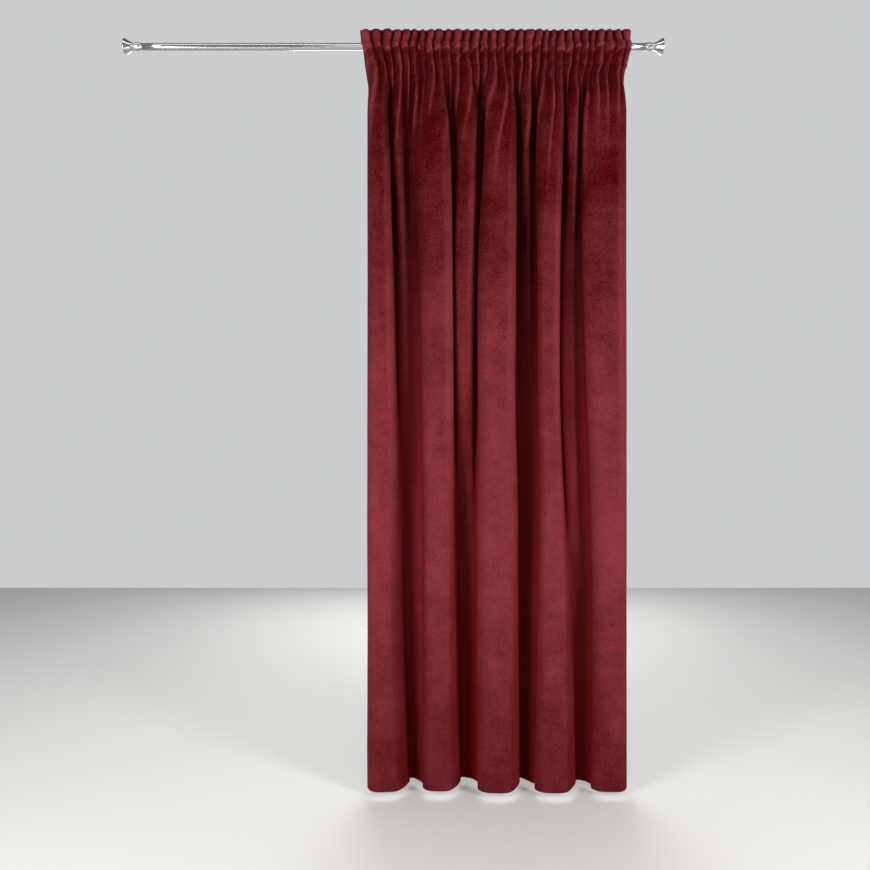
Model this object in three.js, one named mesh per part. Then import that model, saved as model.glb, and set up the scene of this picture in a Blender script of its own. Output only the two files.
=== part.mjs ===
// A velvet curtain gathered on a curtain rod with a trumpet finial at each end.
//
// Millimetres. +X runs to the right as seen from the room, +Y towards the wall, +Z up.
// The origin is on the rod's axis, halfway along the rod. In the tables a drop is measured
// down from the rod's axis, across is measured from the left side of the hanging cloth, and
// forward is towards the room.
import * as THREE from "three";

// ---- Driving dimensions ------------------------------------------------------------------

const ROD = { length: 1800, radius: 12.5, bore: 11.5, sides: 40 };

const CLOTH = {
  cutWidth: 1620, // flat width of the panel, side hems turned
  hangingWidth: 924, // from side to side once it hangs in folds
  leftSide: -93, // where the left side hangs, along the rod
  lowerStitch: 70, // the row of stitches that the folds open from
  hemDrop: 2646, // from the rod's axis to the hem
  thickness: 2,
  slack: 0.5, // between the rod and the cloth that touches it
};

const FINIAL = {
  spigot: 30, // pushed into the rod's bore
  fit: 0.3, // clearance in the bore and at the rod's end
  length: 64, // beyond the rod's end
  ringEnd: 5,
  groove: 1.2, // depth of the groove between the ring and the collar
  collarStart: 6.5,
  collarEnd: 23,
  collarRadius: 14,
  neckRadius: 11.5,
  mouthRadius: 28.5,
  sides: 32,
};

// The cloth's rows from the frill's top edge to the hem. In the frill it is doubled. Two seam
// rows close the sleeve that the rod runs through. At each drop left and right are where the
// cloth's sides hang, gather is the height of a gather of mean width from front to back, and
// stand is how far the sleeve stands off, as a share of what clears the rod.
const ROWS = [
  { drop: -63, kind: "doubled", left: -28, right: 944, gather: 15, stand: 0 },
  { drop: -16, kind: "seam", left: -24, right: 941, gather: 12, stand: 0 },
  { drop: -11, kind: "sleeve", left: -22, right: 940, gather: 13, stand: 0.92 },
  { drop: 1, kind: "sleeve", left: -19, right: 939, gather: 14, stand: 1 },
  { drop: 17, kind: "sleeve", left: -16, right: 938, gather: 14, stand: 0.85 },
  { drop: 36, kind: "sleeve", left: -13, right: 934, gather: 13, stand: 0.35 },
  { drop: 70, kind: "seam", left: -11, right: 928, gather: 12, stand: 0 },
  { drop: 92, kind: "single", left: -9, right: 920, gather: 15, stand: 0 },
  { drop: 132, kind: "single", left: -6, right: 918, gather: 18, stand: 0 },
  { drop: 190, kind: "single", left: -2, right: 922, gather: 17, stand: 0 },
  { drop: 280, kind: "single", left: 0, right: 924, gather: 14, stand: 0 },
  { drop: 420, kind: "single", left: 0, right: 924, gather: 12, stand: 0 },
  { drop: 680, kind: "single", left: 0, right: 924, gather: 12, stand: 0 },
  { drop: 1040, kind: "single", left: 0, right: 924, gather: 12, stand: 0 },
  { drop: 1480, kind: "single", left: 0, right: 924, gather: 12, stand: 0 },
  { drop: 2000, kind: "single", left: 0, right: 924, gather: 12, stand: 0 },
  { drop: 2646, kind: "single", left: 0, right: 924, gather: 12, stand: 0 },
];

// The gathers of the heading from left to right: each one's width along the rod, and the
// drop at which it has faded into the folds.
const GATHERS = [
  { width: 32, fades: 190 },
  { width: 22, fades: 420 },
  { width: 33, fades: 230 },
  { width: 38, fades: 520 },
  { width: 30, fades: 260 },
  { width: 36, fades: 600 },
  { width: 26, fades: 330 },
  { width: 26, fades: 160 },
  { width: 31, fades: 240 },
  { width: 32, fades: 150 },
  { width: 32, fades: 380 },
  { width: 37, fades: 300 },
  { width: 28, fades: 200 },
  { width: 39, fades: 260 },
  { width: 28, fades: 340 },
  { width: 27, fades: 520 },
  { width: 36, fades: 180 },
  { width: 32, fades: 430 },
  { width: 30, fades: 320 },
  { width: 35, fades: 230 },
  { width: 34, fades: 160 },
  { width: 22, fades: 480 },
  { width: 27, fades: 300 },
  { width: 31, fades: 380 },
  { width: 26, fades: 320 },
  { width: 30, fades: 460 },
  { width: 28, fades: 380 },
  { width: 23, fades: 560 },
  { width: 33, fades: 150 },
  { width: 30, fades: 230 },
  { width: 25, fades: 280 },
  { width: 32, fades: 200 },
];

// Five broad faces hang forward. Each crown is how far its face stands forward.
const CROWNS = [49, 42, 58, 58, 49];

// Four valleys part the faces. A row holds for one drop: right is the right edge of the face
// before the valley, left is the left edge of the face after it, and a small fold from one
// place to another inside the valley reaches forward by a share of the valley's depth. The
// valley's wall runs under the next face by its tuck. Lower down, where the folds are softer,
// the valley rises to the right by its slope.
const VALLEYS = [
  {
    floor: -66,
    tuck: -5,
    slope: 0.15,
    rows: [
      { drop: 215, right: 69, from: 88, to: 119, reach: 0.6, left: 168 },
      { drop: 391, right: 78, from: 91, to: 121, reach: 0.62, left: 166 },
      { drop: 743, right: 87, from: 105, to: 132, reach: 0.36, left: 187 },
      { drop: 1270, right: 98, from: 112, to: 141, reach: 0.25, left: 198 },
      { drop: 1621, right: 101, from: 122, to: 150, reach: 0.1, left: 204 },
      { drop: 2113, right: 98, from: 138, to: 168, reach: 0, left: 204 },
      { drop: 2646, right: 124, from: 152, to: 174, reach: 0, left: 201 },
    ],
  },
  {
    floor: -72,
    tuck: 8,
    slope: 0.2,
    rows: [
      { drop: 215, right: 283, from: 324, to: 386, reach: 0.92, left: 422 },
      { drop: 391, right: 296, from: 327, to: 384, reach: 0.86, left: 416 },
      { drop: 743, right: 301, from: 315, to: 379, reach: 0.78, left: 397 },
      { drop: 1270, right: 304, from: 319, to: 374, reach: 0.58, left: 394 },
      { drop: 1621, right: 303, from: 329, to: 374, reach: 0.26, left: 393 },
      { drop: 2113, right: 301, from: 336, to: 378, reach: 0, left: 393 },
      { drop: 2646, right: 308, from: 338, to: 380, reach: 0, left: 393 },
    ],
  },
  {
    floor: -70,
    tuck: 6,
    slope: 0.6,
    rows: [
      { drop: 215, right: 529, from: 550, to: 582, reach: 0.8, left: 607 },
      { drop: 391, right: 529, from: 554, to: 582, reach: 0.52, left: 603 },
      { drop: 743, right: 527, from: 557, to: 582, reach: 0.3, left: 605 },
      { drop: 1270, right: 525, from: 556, to: 584, reach: 0.14, left: 610 },
      { drop: 1621, right: 530, from: 558, to: 588, reach: 0, left: 613 },
      { drop: 2113, right: 526, from: 552, to: 584, reach: 0, left: 607 },
      { drop: 2646, right: 524, from: 548, to: 580, reach: 0, left: 596 },
    ],
  },
  {
    floor: -48,
    tuck: 4,
    slope: 0.1,
    rows: [
      { drop: 215, right: 700, from: 710, to: 746, reach: 0.85, left: 771 },
      { drop: 391, right: 696, from: 714, to: 746, reach: 0.6, left: 767 },
      { drop: 743, right: 685, from: 708, to: 742, reach: 0.26, left: 767 },
      { drop: 1270, right: 683, from: 704, to: 742, reach: 0.24, left: 781 },
      { drop: 1621, right: 696, from: 718, to: 750, reach: 0.3, left: 795 },
      { drop: 2113, right: 714, from: 745, to: 778, reach: 0.1, left: 803 },
      { drop: 2646, right: 724, from: 756, to: 784, reach: 0, left: 797 },
    ],
  },
];

// How a fold's section rounds over, as shares of a face's width, crown or floor.
const SECTION = {
  shoulder: 0.17, // a face's shoulders lie this share of its width in from its edges
  shoulderCrown: 0.9,
  edgeCrown: 0.45, // a face's edges are this far forward
  wallFloor: 0.4, // halfway down a valley's wall
  cornerFloor: 0.9, // beside a small fold
  shallowCorner: 0.35, // the less, the further the small fold reaches
  smallShoulder: 0.85,
  leanTop: -3, // a face's right wall hangs plumb near the heading and spreads to the hem
  leanHem: 22,
  leanFrom: 900,
  softFrom: 900, // the drops between which the folds grow soft
  softTo: 2000,
};

// How the cloth passes from gathers into folds.
const OPENING = {
  start: 30, // the drops between which the folds open
  end: 250,
  broad: 0.6, // a gather is a half wave raised to this power, so its bottoms are sharp
  facing: 1.5, // and it dies out as its fold turns away from the room
};

// ---- Small helpers -----------------------------------------------------------------------

const { lerp, smoothstep } = THREE.MathUtils;

// A smooth value from one column of a table whose rows run down the cloth.
function columnAt(rows, name, drop) {
  const last = rows.length - 1;
  const held = THREE.MathUtils.clamp(drop, rows[0].drop, rows[last].drop);
  let k = 0;
  while (k < last - 1 && rows[k + 1].drop < held) {
    k += 1;
  }
  const span = rows[k + 1].drop - rows[k].drop;
  const slopeAt = (j) => {
    const a = rows[Math.max(j - 1, 0)];
    const b = rows[Math.min(j + 1, last)];
    return (b[name] - a[name]) / (b.drop - a.drop);
  };
  const t = (held - rows[k].drop) / span;
  const start = rows[k][name];
  const end = rows[k + 1][name];
  const bend = (slopeAt(k) * (1 - t) - slopeAt(k + 1) * t) * span;
  return lerp(start, end, t * t * (3 - 2 * t)) + t * (1 - t) * bend;
}

// ---- The folds in plan -------------------------------------------------------------------

// Points of the folds at one drop, as (across, forward), with their depth scaled.
function foldPoints(drop, depth) {
  const points = [];
  const add = (across, forward) => {
    points.push(new THREE.Vector3(across, forward * depth, 0));
  };
  const { shoulder, shoulderCrown, edgeCrown, wallFloor, cornerFloor, smallShoulder } = SECTION;
  const soft = smoothstep(drop, SECTION.softFrom, SECTION.softTo);
  const spread = smoothstep(drop, SECTION.leanFrom, CLOTH.hemDrop);
  const lean = lerp(SECTION.leanTop, SECTION.leanHem, spread);
  // The left side of the cloth turns back.
  add(9, -24);
  add(0, 6);
  CROWNS.forEach((crown, k) => {
    const before = VALLEYS[k - 1];
    const after = VALLEYS[k];
    const left = before ? columnAt(before.rows, "left", drop) : 0;
    const right = after ? columnAt(after.rows, "right", drop) : CLOTH.hangingWidth;
    if (before) {
      add(left + before.tuck, before.floor * (wallFloor - 0.3 * before.slope * soft));
      add(left, crown * edgeCrown);
    }
    add(lerp(left, right, shoulder), crown * shoulderCrown);
    add(lerp(left, right, 0.5), crown);
    add(lerp(right, left, shoulder), crown * shoulderCrown);
    if (after) {
      const from = columnAt(after.rows, "from", drop);
      const to = columnAt(after.rows, "to", drop);
      const reach = columnAt(after.rows, "reach", drop);
      const wall = right + lean;
      const farWall = columnAt(after.rows, "left", drop) + after.tuck;
      const smallCrown = lerp(after.floor, crown, reach);
      const smallEdge = lerp(after.floor, smallCrown, smallShoulder);
      const corner = cornerFloor * (1 - SECTION.shallowCorner * reach);
      const slope = after.slope * soft;
      add(right, crown * edgeCrown);
      add(wall, after.floor * wallFloor);
      add((wall + from) / 2, after.floor * (corner - 0.16 * soft));
      add(from, smallEdge);
      add((from + to) / 2, smallCrown - after.floor * 0.25 * slope);
      add(to, smallEdge - after.floor * (0.1 * soft + 0.55 * slope));
      add((to + farWall) / 2, after.floor * (corner - 0.2 * soft - 0.55 * slope));
    }
  });
  // So does the right side.
  add(CLOTH.hangingWidth, 8);
  add(CLOTH.hangingWidth - 7, -20);
  return points;
}

function foldCurve(drop, depth) {
  const curve = new THREE.CatmullRomCurve3(foldPoints(drop, depth), false, "centripetal");
  curve.arcLengthDivisions = 1200;
  return curve;
}

// The folds are as deep as the cloth's width makes them.
function foldDepth(drop) {
  let low = 0.3;
  let high = 1.8;
  for (let step = 0; step < 14; step += 1) {
    const middle = (low + high) / 2;
    if (foldCurve(drop, middle).getLength() < CLOTH.cutWidth) {
      low = middle;
    } else {
      high = middle;
    }
  }
  return low;
}

// ---- The gathers -------------------------------------------------------------------------

const GATHERS_WIDTH = GATHERS.reduce((sum, gather) => sum + gather.width, 0);
const MEAN_GATHER = GATHERS_WIDTH / GATHERS.length;
const COLUMNS_PER_GATHER = 4;
const COLUMNS = GATHERS.length * COLUMNS_PER_GATHER;
const SLEEVE_GATHER = 14; // height of a mean gather where the sleeve rounds the rod
const GATHER_LEAD = SLEEVE_GATHER / 2; // how far the gathers' bottoms lie behind the rod
const WIDEST_GATHER = Math.max(...GATHERS.map((gather) => gather.width));
const TALLEST_GATHER = (SLEEVE_GATHER * WIDEST_GATHER) / MEAN_GATHER;

// Each mesh column's share of the way across the cloth, and the gather it lies on.
const columns = [];
let gathered = 0;
GATHERS.forEach((gather) => {
  for (let k = 0; k < COLUMNS_PER_GATHER; k += 1) {
    const phase = k / COLUMNS_PER_GATHER;
    columns.push({ share: (gathered + gather.width * phase) / GATHERS_WIDTH, gather, phase });
  }
  gathered += gather.width;
});
columns.push({ share: 1, gather: GATHERS[GATHERS.length - 1], phase: 1 });

// How far forward the cloth stands from the bottom of its gather, at a drop.
function gatherRise({ gather, phase }, drop) {
  const broad = Math.sin(Math.PI * phase) ** OPENING.broad;
  const fade = 1 - smoothstep(drop, CLOTH.lowerStitch, gather.fades);
  return (columnAt(ROWS, "gather", drop) * gather.width * broad * fade) / MEAN_GATHER;
}

// ---- The hanging line of the cloth -------------------------------------------------------

// Mid line of the cloth at one drop, in plan: a point and a forward normal for each column.
function hangingLine(drop) {
  const left = columnAt(ROWS, "left", drop);
  const right = columnAt(ROWS, "right", drop);
  const open = smoothstep(drop, OPENING.start, OPENING.end);
  const curve = open > 0 ? foldCurve(drop, foldDepth(drop)) : null;
  const base = columns.map(({ share }) => {
    const straight = new THREE.Vector2(lerp(left, right, share), 0);
    if (!curve) {
      return straight;
    }
    const folded = curve.getPointAt(share);
    return straight.lerp(new THREE.Vector2(folded.x, folded.y), open);
  });
  const lead = GATHER_LEAD * (1 - smoothstep(drop, CLOTH.lowerStitch, OPENING.end));
  // A gather stands forward where the fold faces the room, and dies out on a fold's walls.
  const line = base.map((point, k) => {
    const facing = Math.max(forwardNormal(base, k).y, 0) ** OPENING.facing;
    return new THREE.Vector2(point.x, point.y + facing * gatherRise(columns[k], drop) - lead);
  });
  return line.map((point, k) => ({ point, out: forwardNormal(line, k) }));
}

function forwardNormal(line, k) {
  const before = line[Math.max(k - 1, 0)];
  const after = line[Math.min(k + 1, line.length - 1)];
  return new THREE.Vector2(before.y - after.y, after.x - before.x).normalize();
}

// ---- The curtain as one closed solid -----------------------------------------------------

class ClosedMesh {
  constructor() {
    this.positions = [];
    this.triangles = [];
  }

  // Adds a row of points, given as (across, forward) with one drop, and returns its indices.
  row(points, drop) {
    const first = this.positions.length / 3;
    points.forEach((point) => {
      this.positions.push(CLOTH.leftSide + point.x, -point.y, -drop);
    });
    return points.map((_, k) => first + k);
  }

  triangle(a, b, c) {
    this.triangles.push(a, b, c);
  }

  quad(a, b, c, d) {
    this.triangle(a, b, c);
    this.triangle(a, c, d);
  }

  // Joins an upper row to a lower one. Its outside is the side from which +X runs to the
  // right, or the other side if it is turned. Both sides of the cloth are cut along the same
  // diagonals, so that it keeps its thickness.
  skin(upper, lower, turned = false) {
    for (let k = 0; k < upper.length - 1; k += 1) {
      const [a, b, c, d] = [upper[k], lower[k], lower[k + 1], upper[k + 1]];
      if (turned) {
        this.quad(a, d, c, b);
      } else {
        this.quad(a, b, c, d);
      }
    }
  }

  geometry() {
    const geometry = new THREE.BufferGeometry();
    geometry.setAttribute("position", new THREE.Float32BufferAttribute(this.positions, 3));
    geometry.setIndex(this.triangles);
    geometry.computeVertexNormals();
    return geometry;
  }
}

// Points off a hanging line: ahead moves them straight forward, and offset along the normal.
function offLine(line, ahead, offset) {
  return line.map(({ point, out }) => {
    const moved = point.clone().addScaledVector(out, offset);
    moved.y += ahead;
    return moved;
  });
}

// One row of the solid. A doubled row has two thicknesses of cloth. A seam row also has the
// line where the two layers of the sleeve meet, and a sleeve row has a face on each side of
// the rod's space.
function addRow(mesh, { kind, drop, stand }) {
  const line = hangingLine(drop);
  const single = kind === "single";
  const half = single ? CLOTH.thickness / 2 : CLOTH.thickness;
  if (kind !== "sleeve") {
    const row = {
      kind,
      front: mesh.row(offLine(line, 0, half), drop),
      back: mesh.row(offLine(line, 0, -half), drop),
    };
    if (kind === "seam") {
      row.inFront = mesh.row(offLine(line, 0, 0), drop);
      row.inBack = row.inFront;
    }
    return row;
  }
  const skin = CLOTH.thickness / 2;
  const touching = ROD.radius + CLOTH.slack + skin;
  const front = stand * (touching + GATHER_LEAD);
  const back = stand * (touching + TALLEST_GATHER - GATHER_LEAD);
  return {
    kind,
    front: mesh.row(offLine(line, front, skin), drop),
    inFront: mesh.row(offLine(line, front, -skin), drop),
    inBack: mesh.row(offLine(line, -back, skin), drop),
    back: mesh.row(offLine(line, -back, -skin), drop),
  };
}

// Closes the cloth's side between two rows. It is drawn for the left side.
function closeSide(mesh, upper, lower, k, flip) {
  const add = (a, b, c) => (flip ? mesh.triangle(a, c, b) : mesh.triangle(a, b, c));
  const addQuad = (a, b, c, d) => {
    add(a, b, c);
    add(a, c, d);
  };
  if (upper.inFront && lower.inFront) {
    addQuad(upper.front[k], upper.inFront[k], lower.inFront[k], lower.front[k]);
    addQuad(upper.inBack[k], upper.back[k], lower.back[k], lower.inBack[k]);
    return;
  }
  const [seam, plain] = upper.inFront ? [upper, lower] : [lower, upper];
  const turn = seam === lower;
  const addEither = (a, b, c) => (turn ? add(a, c, b) : add(a, b, c));
  if (seam.inFront) {
    addEither(seam.front[k], seam.inFront[k], plain.front[k]);
    addEither(seam.inFront[k], plain.back[k], plain.front[k]);
    addEither(seam.inFront[k], seam.back[k], plain.back[k]);
    return;
  }
  addQuad(upper.front[k], upper.back[k], lower.back[k], lower.front[k]);
}

function curtainGeometry() {
  const mesh = new ClosedMesh();
  const rows = ROWS.map((row) => addRow(mesh, row));
  const last = rows.length - 1;
  for (let j = 0; j < last; j += 1) {
    const [upper, lower] = [rows[j], rows[j + 1]];
    mesh.skin(upper.front, lower.front);
    mesh.skin(upper.back, lower.back, true);
    if (upper.inFront && lower.inFront) {
      mesh.skin(upper.inFront, lower.inFront, true);
      mesh.skin(upper.inBack, lower.inBack);
    }
    closeSide(mesh, upper, lower, 0, false);
    closeSide(mesh, upper, lower, COLUMNS, true);
  }
  mesh.skin(rows[0].back, rows[0].front);
  mesh.skin(rows[last].front, rows[last].back);
  return mesh.geometry();
}

// ---- The rod and its finials -------------------------------------------------------------

function rodGeometry() {
  const section = new THREE.Shape().absarc(0, 0, ROD.radius, 0, 2 * Math.PI);
  section.holes.push(new THREE.Path().absarc(0, 0, ROD.bore, 0, 2 * Math.PI, true));
  const geometry = new THREE.ExtrudeGeometry(section, {
    depth: ROD.length,
    bevelEnabled: false,
    curveSegments: ROD.sides / 2,
  });
  return geometry.rotateY(Math.PI / 2).translate(-ROD.length / 2, 0, 0);
}

// Half section of a finial, as (radius, distance out from the rod's end): the spigot, a ring, a
// plain collar, and a trumpet flare that ends in a slightly domed face.
function finialProfile() {
  const { fit, spigot, ringEnd, groove, collarStart, collarEnd, length } = FINIAL;
  const { collarRadius, neckRadius, mouthRadius } = FINIAL;
  const spigotRadius = ROD.bore - fit;
  const chamfer = 0.6;
  const flareStart = collarEnd + 3;
  const flareEnd = length - 6;
  const flare = new THREE.CubicBezierCurve(
    new THREE.Vector2(neckRadius, flareStart),
    new THREE.Vector2(neckRadius + 3, flareStart + 14),
    new THREE.Vector2(mouthRadius - 9, flareEnd - 15),
    new THREE.Vector2(mouthRadius - 0.8, flareEnd),
  );
  const face = new THREE.QuadraticBezierCurve(
    new THREE.Vector2(mouthRadius - 2, length - 1.6),
    new THREE.Vector2(mouthRadius / 2, length),
    new THREE.Vector2(0, length),
  );
  return [
    new THREE.Vector2(0, -spigot),
    new THREE.Vector2(spigotRadius, -spigot),
    new THREE.Vector2(spigotRadius, fit),
    new THREE.Vector2(collarRadius - chamfer, fit),
    new THREE.Vector2(collarRadius, fit + chamfer),
    new THREE.Vector2(collarRadius, ringEnd),
    new THREE.Vector2(collarRadius - groove, ringEnd),
    new THREE.Vector2(collarRadius - groove, collarStart),
    new THREE.Vector2(collarRadius, collarStart),
    new THREE.Vector2(collarRadius, collarEnd - chamfer),
    new THREE.Vector2(collarRadius - chamfer, collarEnd),
    new THREE.Vector2(neckRadius, collarEnd),
    ...flare.getPoints(8),
    new THREE.Vector2(mouthRadius, length - 4),
    ...face.getPoints(3),
  ];
}

function finialGeometry() {
  return new THREE.LatheGeometry(finialProfile(), FINIAL.sides).rotateZ(-Math.PI / 2);
}

// ---- The part ----------------------------------------------------------------------------

const velvet = new THREE.MeshStandardMaterial({
  color: 0x7a2430,
  roughness: 0.9,
  metalness: 0,
});
const brightMetal = new THREE.MeshStandardMaterial({
  color: 0xc9c9cc,
  roughness: 0.22,
  metalness: 1,
});

function namedMesh(name, geometry, material) {
  const mesh = new THREE.Mesh(geometry, material);
  mesh.name = name;
  return mesh;
}

const part = new THREE.Group();
part.add(namedMesh("curtain", curtainGeometry(), velvet));
part.add(namedMesh("rod", rodGeometry(), brightMetal));
[
  { name: "finial_right", end: 1 },
  { name: "finial_left", end: -1 },
].forEach(({ name, end }) => {
  const finial = namedMesh(name, finialGeometry(), brightMetal.clone());
  finial.position.x = (end * ROD.length) / 2;
  finial.rotation.z = end > 0 ? 0 : Math.PI;
  part.add(finial);
});

export default part;
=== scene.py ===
"""A velvet curtain gathered on a curtain rod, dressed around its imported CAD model.

The model is in metres, in the CAD's frame: +X runs to the right as seen from the room, +Y
towards the wall and +Z up, and the origin is on the rod's axis, halfway along it. The folds
are worked out in millimetres, as a tailor measures them: a drop runs down from the rod's axis,
across runs from the left side of the hanging cloth, and forward is towards the room.
"""

import math

import bmesh
import bpy
import numpy as np
from bpy.props import FloatProperty, FloatVectorProperty, IntProperty, PointerProperty
from bpy.types import Operator, Panel, PropertyGroup
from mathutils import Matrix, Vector


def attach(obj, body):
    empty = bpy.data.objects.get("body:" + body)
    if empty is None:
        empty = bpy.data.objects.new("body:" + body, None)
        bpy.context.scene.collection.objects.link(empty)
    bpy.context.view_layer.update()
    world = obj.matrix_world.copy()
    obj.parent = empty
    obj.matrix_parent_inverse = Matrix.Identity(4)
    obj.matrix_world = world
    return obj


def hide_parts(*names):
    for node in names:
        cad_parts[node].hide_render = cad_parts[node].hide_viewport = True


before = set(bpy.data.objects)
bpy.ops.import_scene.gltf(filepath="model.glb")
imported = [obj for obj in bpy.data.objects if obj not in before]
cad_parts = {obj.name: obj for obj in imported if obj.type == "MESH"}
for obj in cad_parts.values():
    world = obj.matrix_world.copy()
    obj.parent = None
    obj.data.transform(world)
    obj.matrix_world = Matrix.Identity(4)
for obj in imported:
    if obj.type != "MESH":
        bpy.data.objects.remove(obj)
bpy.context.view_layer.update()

bl_info = {
    "name": "Velvet curtain",
    "version": (1, 0, 0),
    "blender": (4, 5, 0),
    "location": "3D View > Sidebar > Curtain",
    "description": "Hangs a gathered velvet curtain on its rod and lights it",
    "category": "Object",
}

MM = 0.001
CLOTH_UV = "flat cloth"
# Point attributes that carry painted shade (open) and painted sheen highlights (rim) into the velvet's
# colour.
OPEN = "open"
RIM = "rim"

# ---- Tables of the folds -----------------------------------------------------------------


def table(columns, *rows):
    """Rows of numbers as one array for each named column."""
    return {name: np.array(values) for name, values in zip(columns.split(), zip(*rows))}


# At each drop, left and right are where the cloth's sides hang, and gather is how far the
# gathers stand forward of the bottoms of their slits. A gather slopes up from the slit on its
# left over a share of its width called ramp, and turns down to the next from the share fall.
ROWS = table(
    "drop left right gather ramp fall",
    (-63, -28, 944, 9, 0.22, 0.76),
    (-50, -27, 943, 15, 0.26, 0.78),
    (-28, -25, 942, 16, 0.3, 0.8),
    (-16, -24, 941, 11, 0.4, 0.82),
    (-11, -22, 940, 13, 0.5, 0.82),
    (1, -19, 939, 14, 0.55, 0.82),
    (17, -16, 938, 14, 0.6, 0.82),
    (36, -13, 934, 13, 0.65, 0.82),
    (70, -11, 928, 15, 0.75, 0.83),
    (92, -9, 920, 16, 0.8, 0.82),
    (132, -6, 918, 16, 0.85, 0.78),
    (190, -2, 922, 14, 0.8, 0.7),
    (280, 0, 924, 10, 0.7, 0.62),
    (420, 0, 924, 5, 0.6, 0.56),
    (800, 0, 924, 0, 0.6, 0.56),
    (2646, 0, 924, 0, 0.6, 0.56),
)

# How far the sleeve stands off the line of its stitches, as a share of what clears the rod.
SLEEVE = table(
    "drop stand",
    (-16, 0),
    (-13, 0.62),
    (-10, 0.93),
    (-5, 1),
    (5, 1),
    (13, 0.97),
    (18, 0.82),
    (23, 0.52),
    (28, 0.28),
    (36, 0.13),
    (50, 0.05),
    (70, 0),
)

# The slits that part the gathers run from the frill down into the folds. Each is placed across
# the cloth in the frill, over the rod, at the lower stitches and in the header, is so deep, and
# has faded into the main folds at the drop called fades.
SLIT_DROPS = {"frill": -50, "sleeve": 2, "seam": 70, "header": 226}
SLITS = table(
    "frill sleeve seam header depth fades",
    (12, 20, 41, 45, 10, 360),
    (52, 52, 68, 84, 15, 420),
    (91, 84, 94, 92, 12, 240),
    (123, 116, 126, 123, 15, 390),
    (158, 148, 153, 155, 16, 420),
    (183, 176, 183, 190, 18, 800),
    (212, 205, 212, 201, 13, 280),
    (240, 233, 242, 237, 11, 230),
    (276, 265, 272, 288, 12, 380),
    (304, 297, 304, 297, 8, 230),
    (344, 336, 333, 326, 14, 480),
    (372, 365, 377, 379, 8, 300),
    (408, 400, 404, 398, 17, 480),
    (436, 433, 433, 424, 12, 340),
    (465, 461, 468, 457, 12, 330),
    (500, 493, 498, 507, 13, 560),
    (536, 525, 529, 532, 12, 300),
    (561, 557, 559, 546, 13, 400),
    (603, 589, 591, 591, 15, 400),
    (632, 621, 618, 606, 13, 260),
    (653, 643, 646, 637, 13, 420),
    (682, 671, 675, 671, 15, 560),
    (710, 707, 700, 707, 11, 260),
    (735, 735, 732, 714, 14, 420),
    (767, 767, 760, 755, 13, 380),
    (796, 792, 785, 774, 10, 300),
    (821, 810, 810, 796, 13, 520),
    (853, 846, 842, 828, 13, 360),
    (881, 885, 870, 862, 12, 330),
    (910, 920, 910, 901, 9, 300),
)

# Five broad faces hang forward. Each crown is how far its face stands forward.
CROWNS = (49, 42, 58, 58, 49)


def valley(sizes, *rows):
    """A valley between two faces: its own sizes, and one row for each drop."""
    named = dict(zip(("floor", "tuck", "slope", "gloom"), sizes))
    return named | {"rows": table("drop right start stop reach left", *rows)}


# Four valleys part the faces. Each has its floor, how far its left wall leans under the face
# after it, how much its bottom slopes up to the right lower down, and its gloom, which is how
# much painted shade the small fold inside it gets beyond that of the faces. In a row, right is the
# right edge of the face before the valley and left is the left edge of the face after it. The
# small fold runs from start to stop, and reaches forward by a share of the valley's depth.
VALLEYS = (
    valley(
        (-66, -5, 0.15, 0.28),
        (215, 69, 88, 119, 0.6, 168),
        (391, 78, 91, 121, 0.62, 166),
        (743, 87, 105, 132, 0.36, 187),
        (1270, 98, 112, 141, 0.25, 198),
        (1621, 101, 122, 150, 0.1, 204),
        (2113, 98, 138, 168, 0, 204),
        (2646, 124, 152, 174, 0, 201),
    ),
    valley(
        (-72, 8, 0.2, 0),
        (215, 283, 324, 386, 0.92, 422),
        (391, 296, 327, 384, 0.86, 416),
        (743, 301, 315, 379, 0.78, 397),
        (1270, 304, 319, 374, 0.58, 394),
        (1621, 303, 329, 374, 0.26, 393),
        (2113, 301, 336, 378, 0, 393),
        (2646, 308, 338, 380, 0, 393),
    ),
    valley(
        (-70, 6, 0.6, 0),
        (215, 529, 550, 582, 0.8, 607),
        (391, 529, 554, 582, 0.52, 603),
        (743, 527, 557, 582, 0.3, 605),
        (1270, 525, 556, 584, 0.14, 610),
        (1621, 530, 558, 588, 0, 613),
        (2113, 526, 552, 584, 0, 607),
        (2646, 524, 548, 580, 0, 596),
    ),
    valley(
        (-48, 4, 0.1, 0.1),
        (215, 700, 710, 746, 0.85, 771),
        (391, 696, 714, 746, 0.6, 767),
        (743, 685, 708, 742, 0.26, 767),
        (1270, 683, 704, 742, 0.24, 781),
        (1621, 696, 718, 750, 0.3, 795),
        (2113, 714, 745, 778, 0.1, 803),
        (2646, 724, 756, 784, 0, 797),
    ),
)

# How a fold's section rounds over, as shares of a face's width, crown or floor.
SHOULDER = 0.17
SHOULDER_CROWN = 0.9
EDGE_CROWN = 0.45
WALL_FLOOR = 0.4
CORNER_FLOOR = 0.9
SHALLOW_CORNER = 0.35
SMALL_SHOULDER = 0.85

# How the cloth turns back at its left and right sides, as (across, forward) from each.
LEFT_TURN = ((9, -24), (0, 6))
RIGHT_TURN = ((0, 8), (-7, -20))

# How the folds lean over, and how much their valleys fill up lower down, as shares of a
# valley's floor: first in every valley, then where its bottom slopes up to the right.
LEAN_TOP = -3
LEAN_HEM = 22
LEAN_FROM = 900
SOFT_FROM = 900
SOFT_TO = 2000
NEAR_SOFT, EDGE_SOFT, FAR_SOFT = 0.16, 0.1, 0.2
WALL_SLOPE, CROWN_SLOPE, FAR_SLOPE = 0.3, 0.25, 0.55

# Between which depths the folds are looked for, and how often that span is halved.
LEAST_DEPTH, MOST_DEPTH, HALVINGS = 0.3, 1.8, 14

# How the mesh's columns crowd into the slits, and where they have spread evenly again.
CROWD, CROWD_REACH = 2.2, 0.003
SPREADS_FROM, SPREADS_TO = 240, 640

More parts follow.
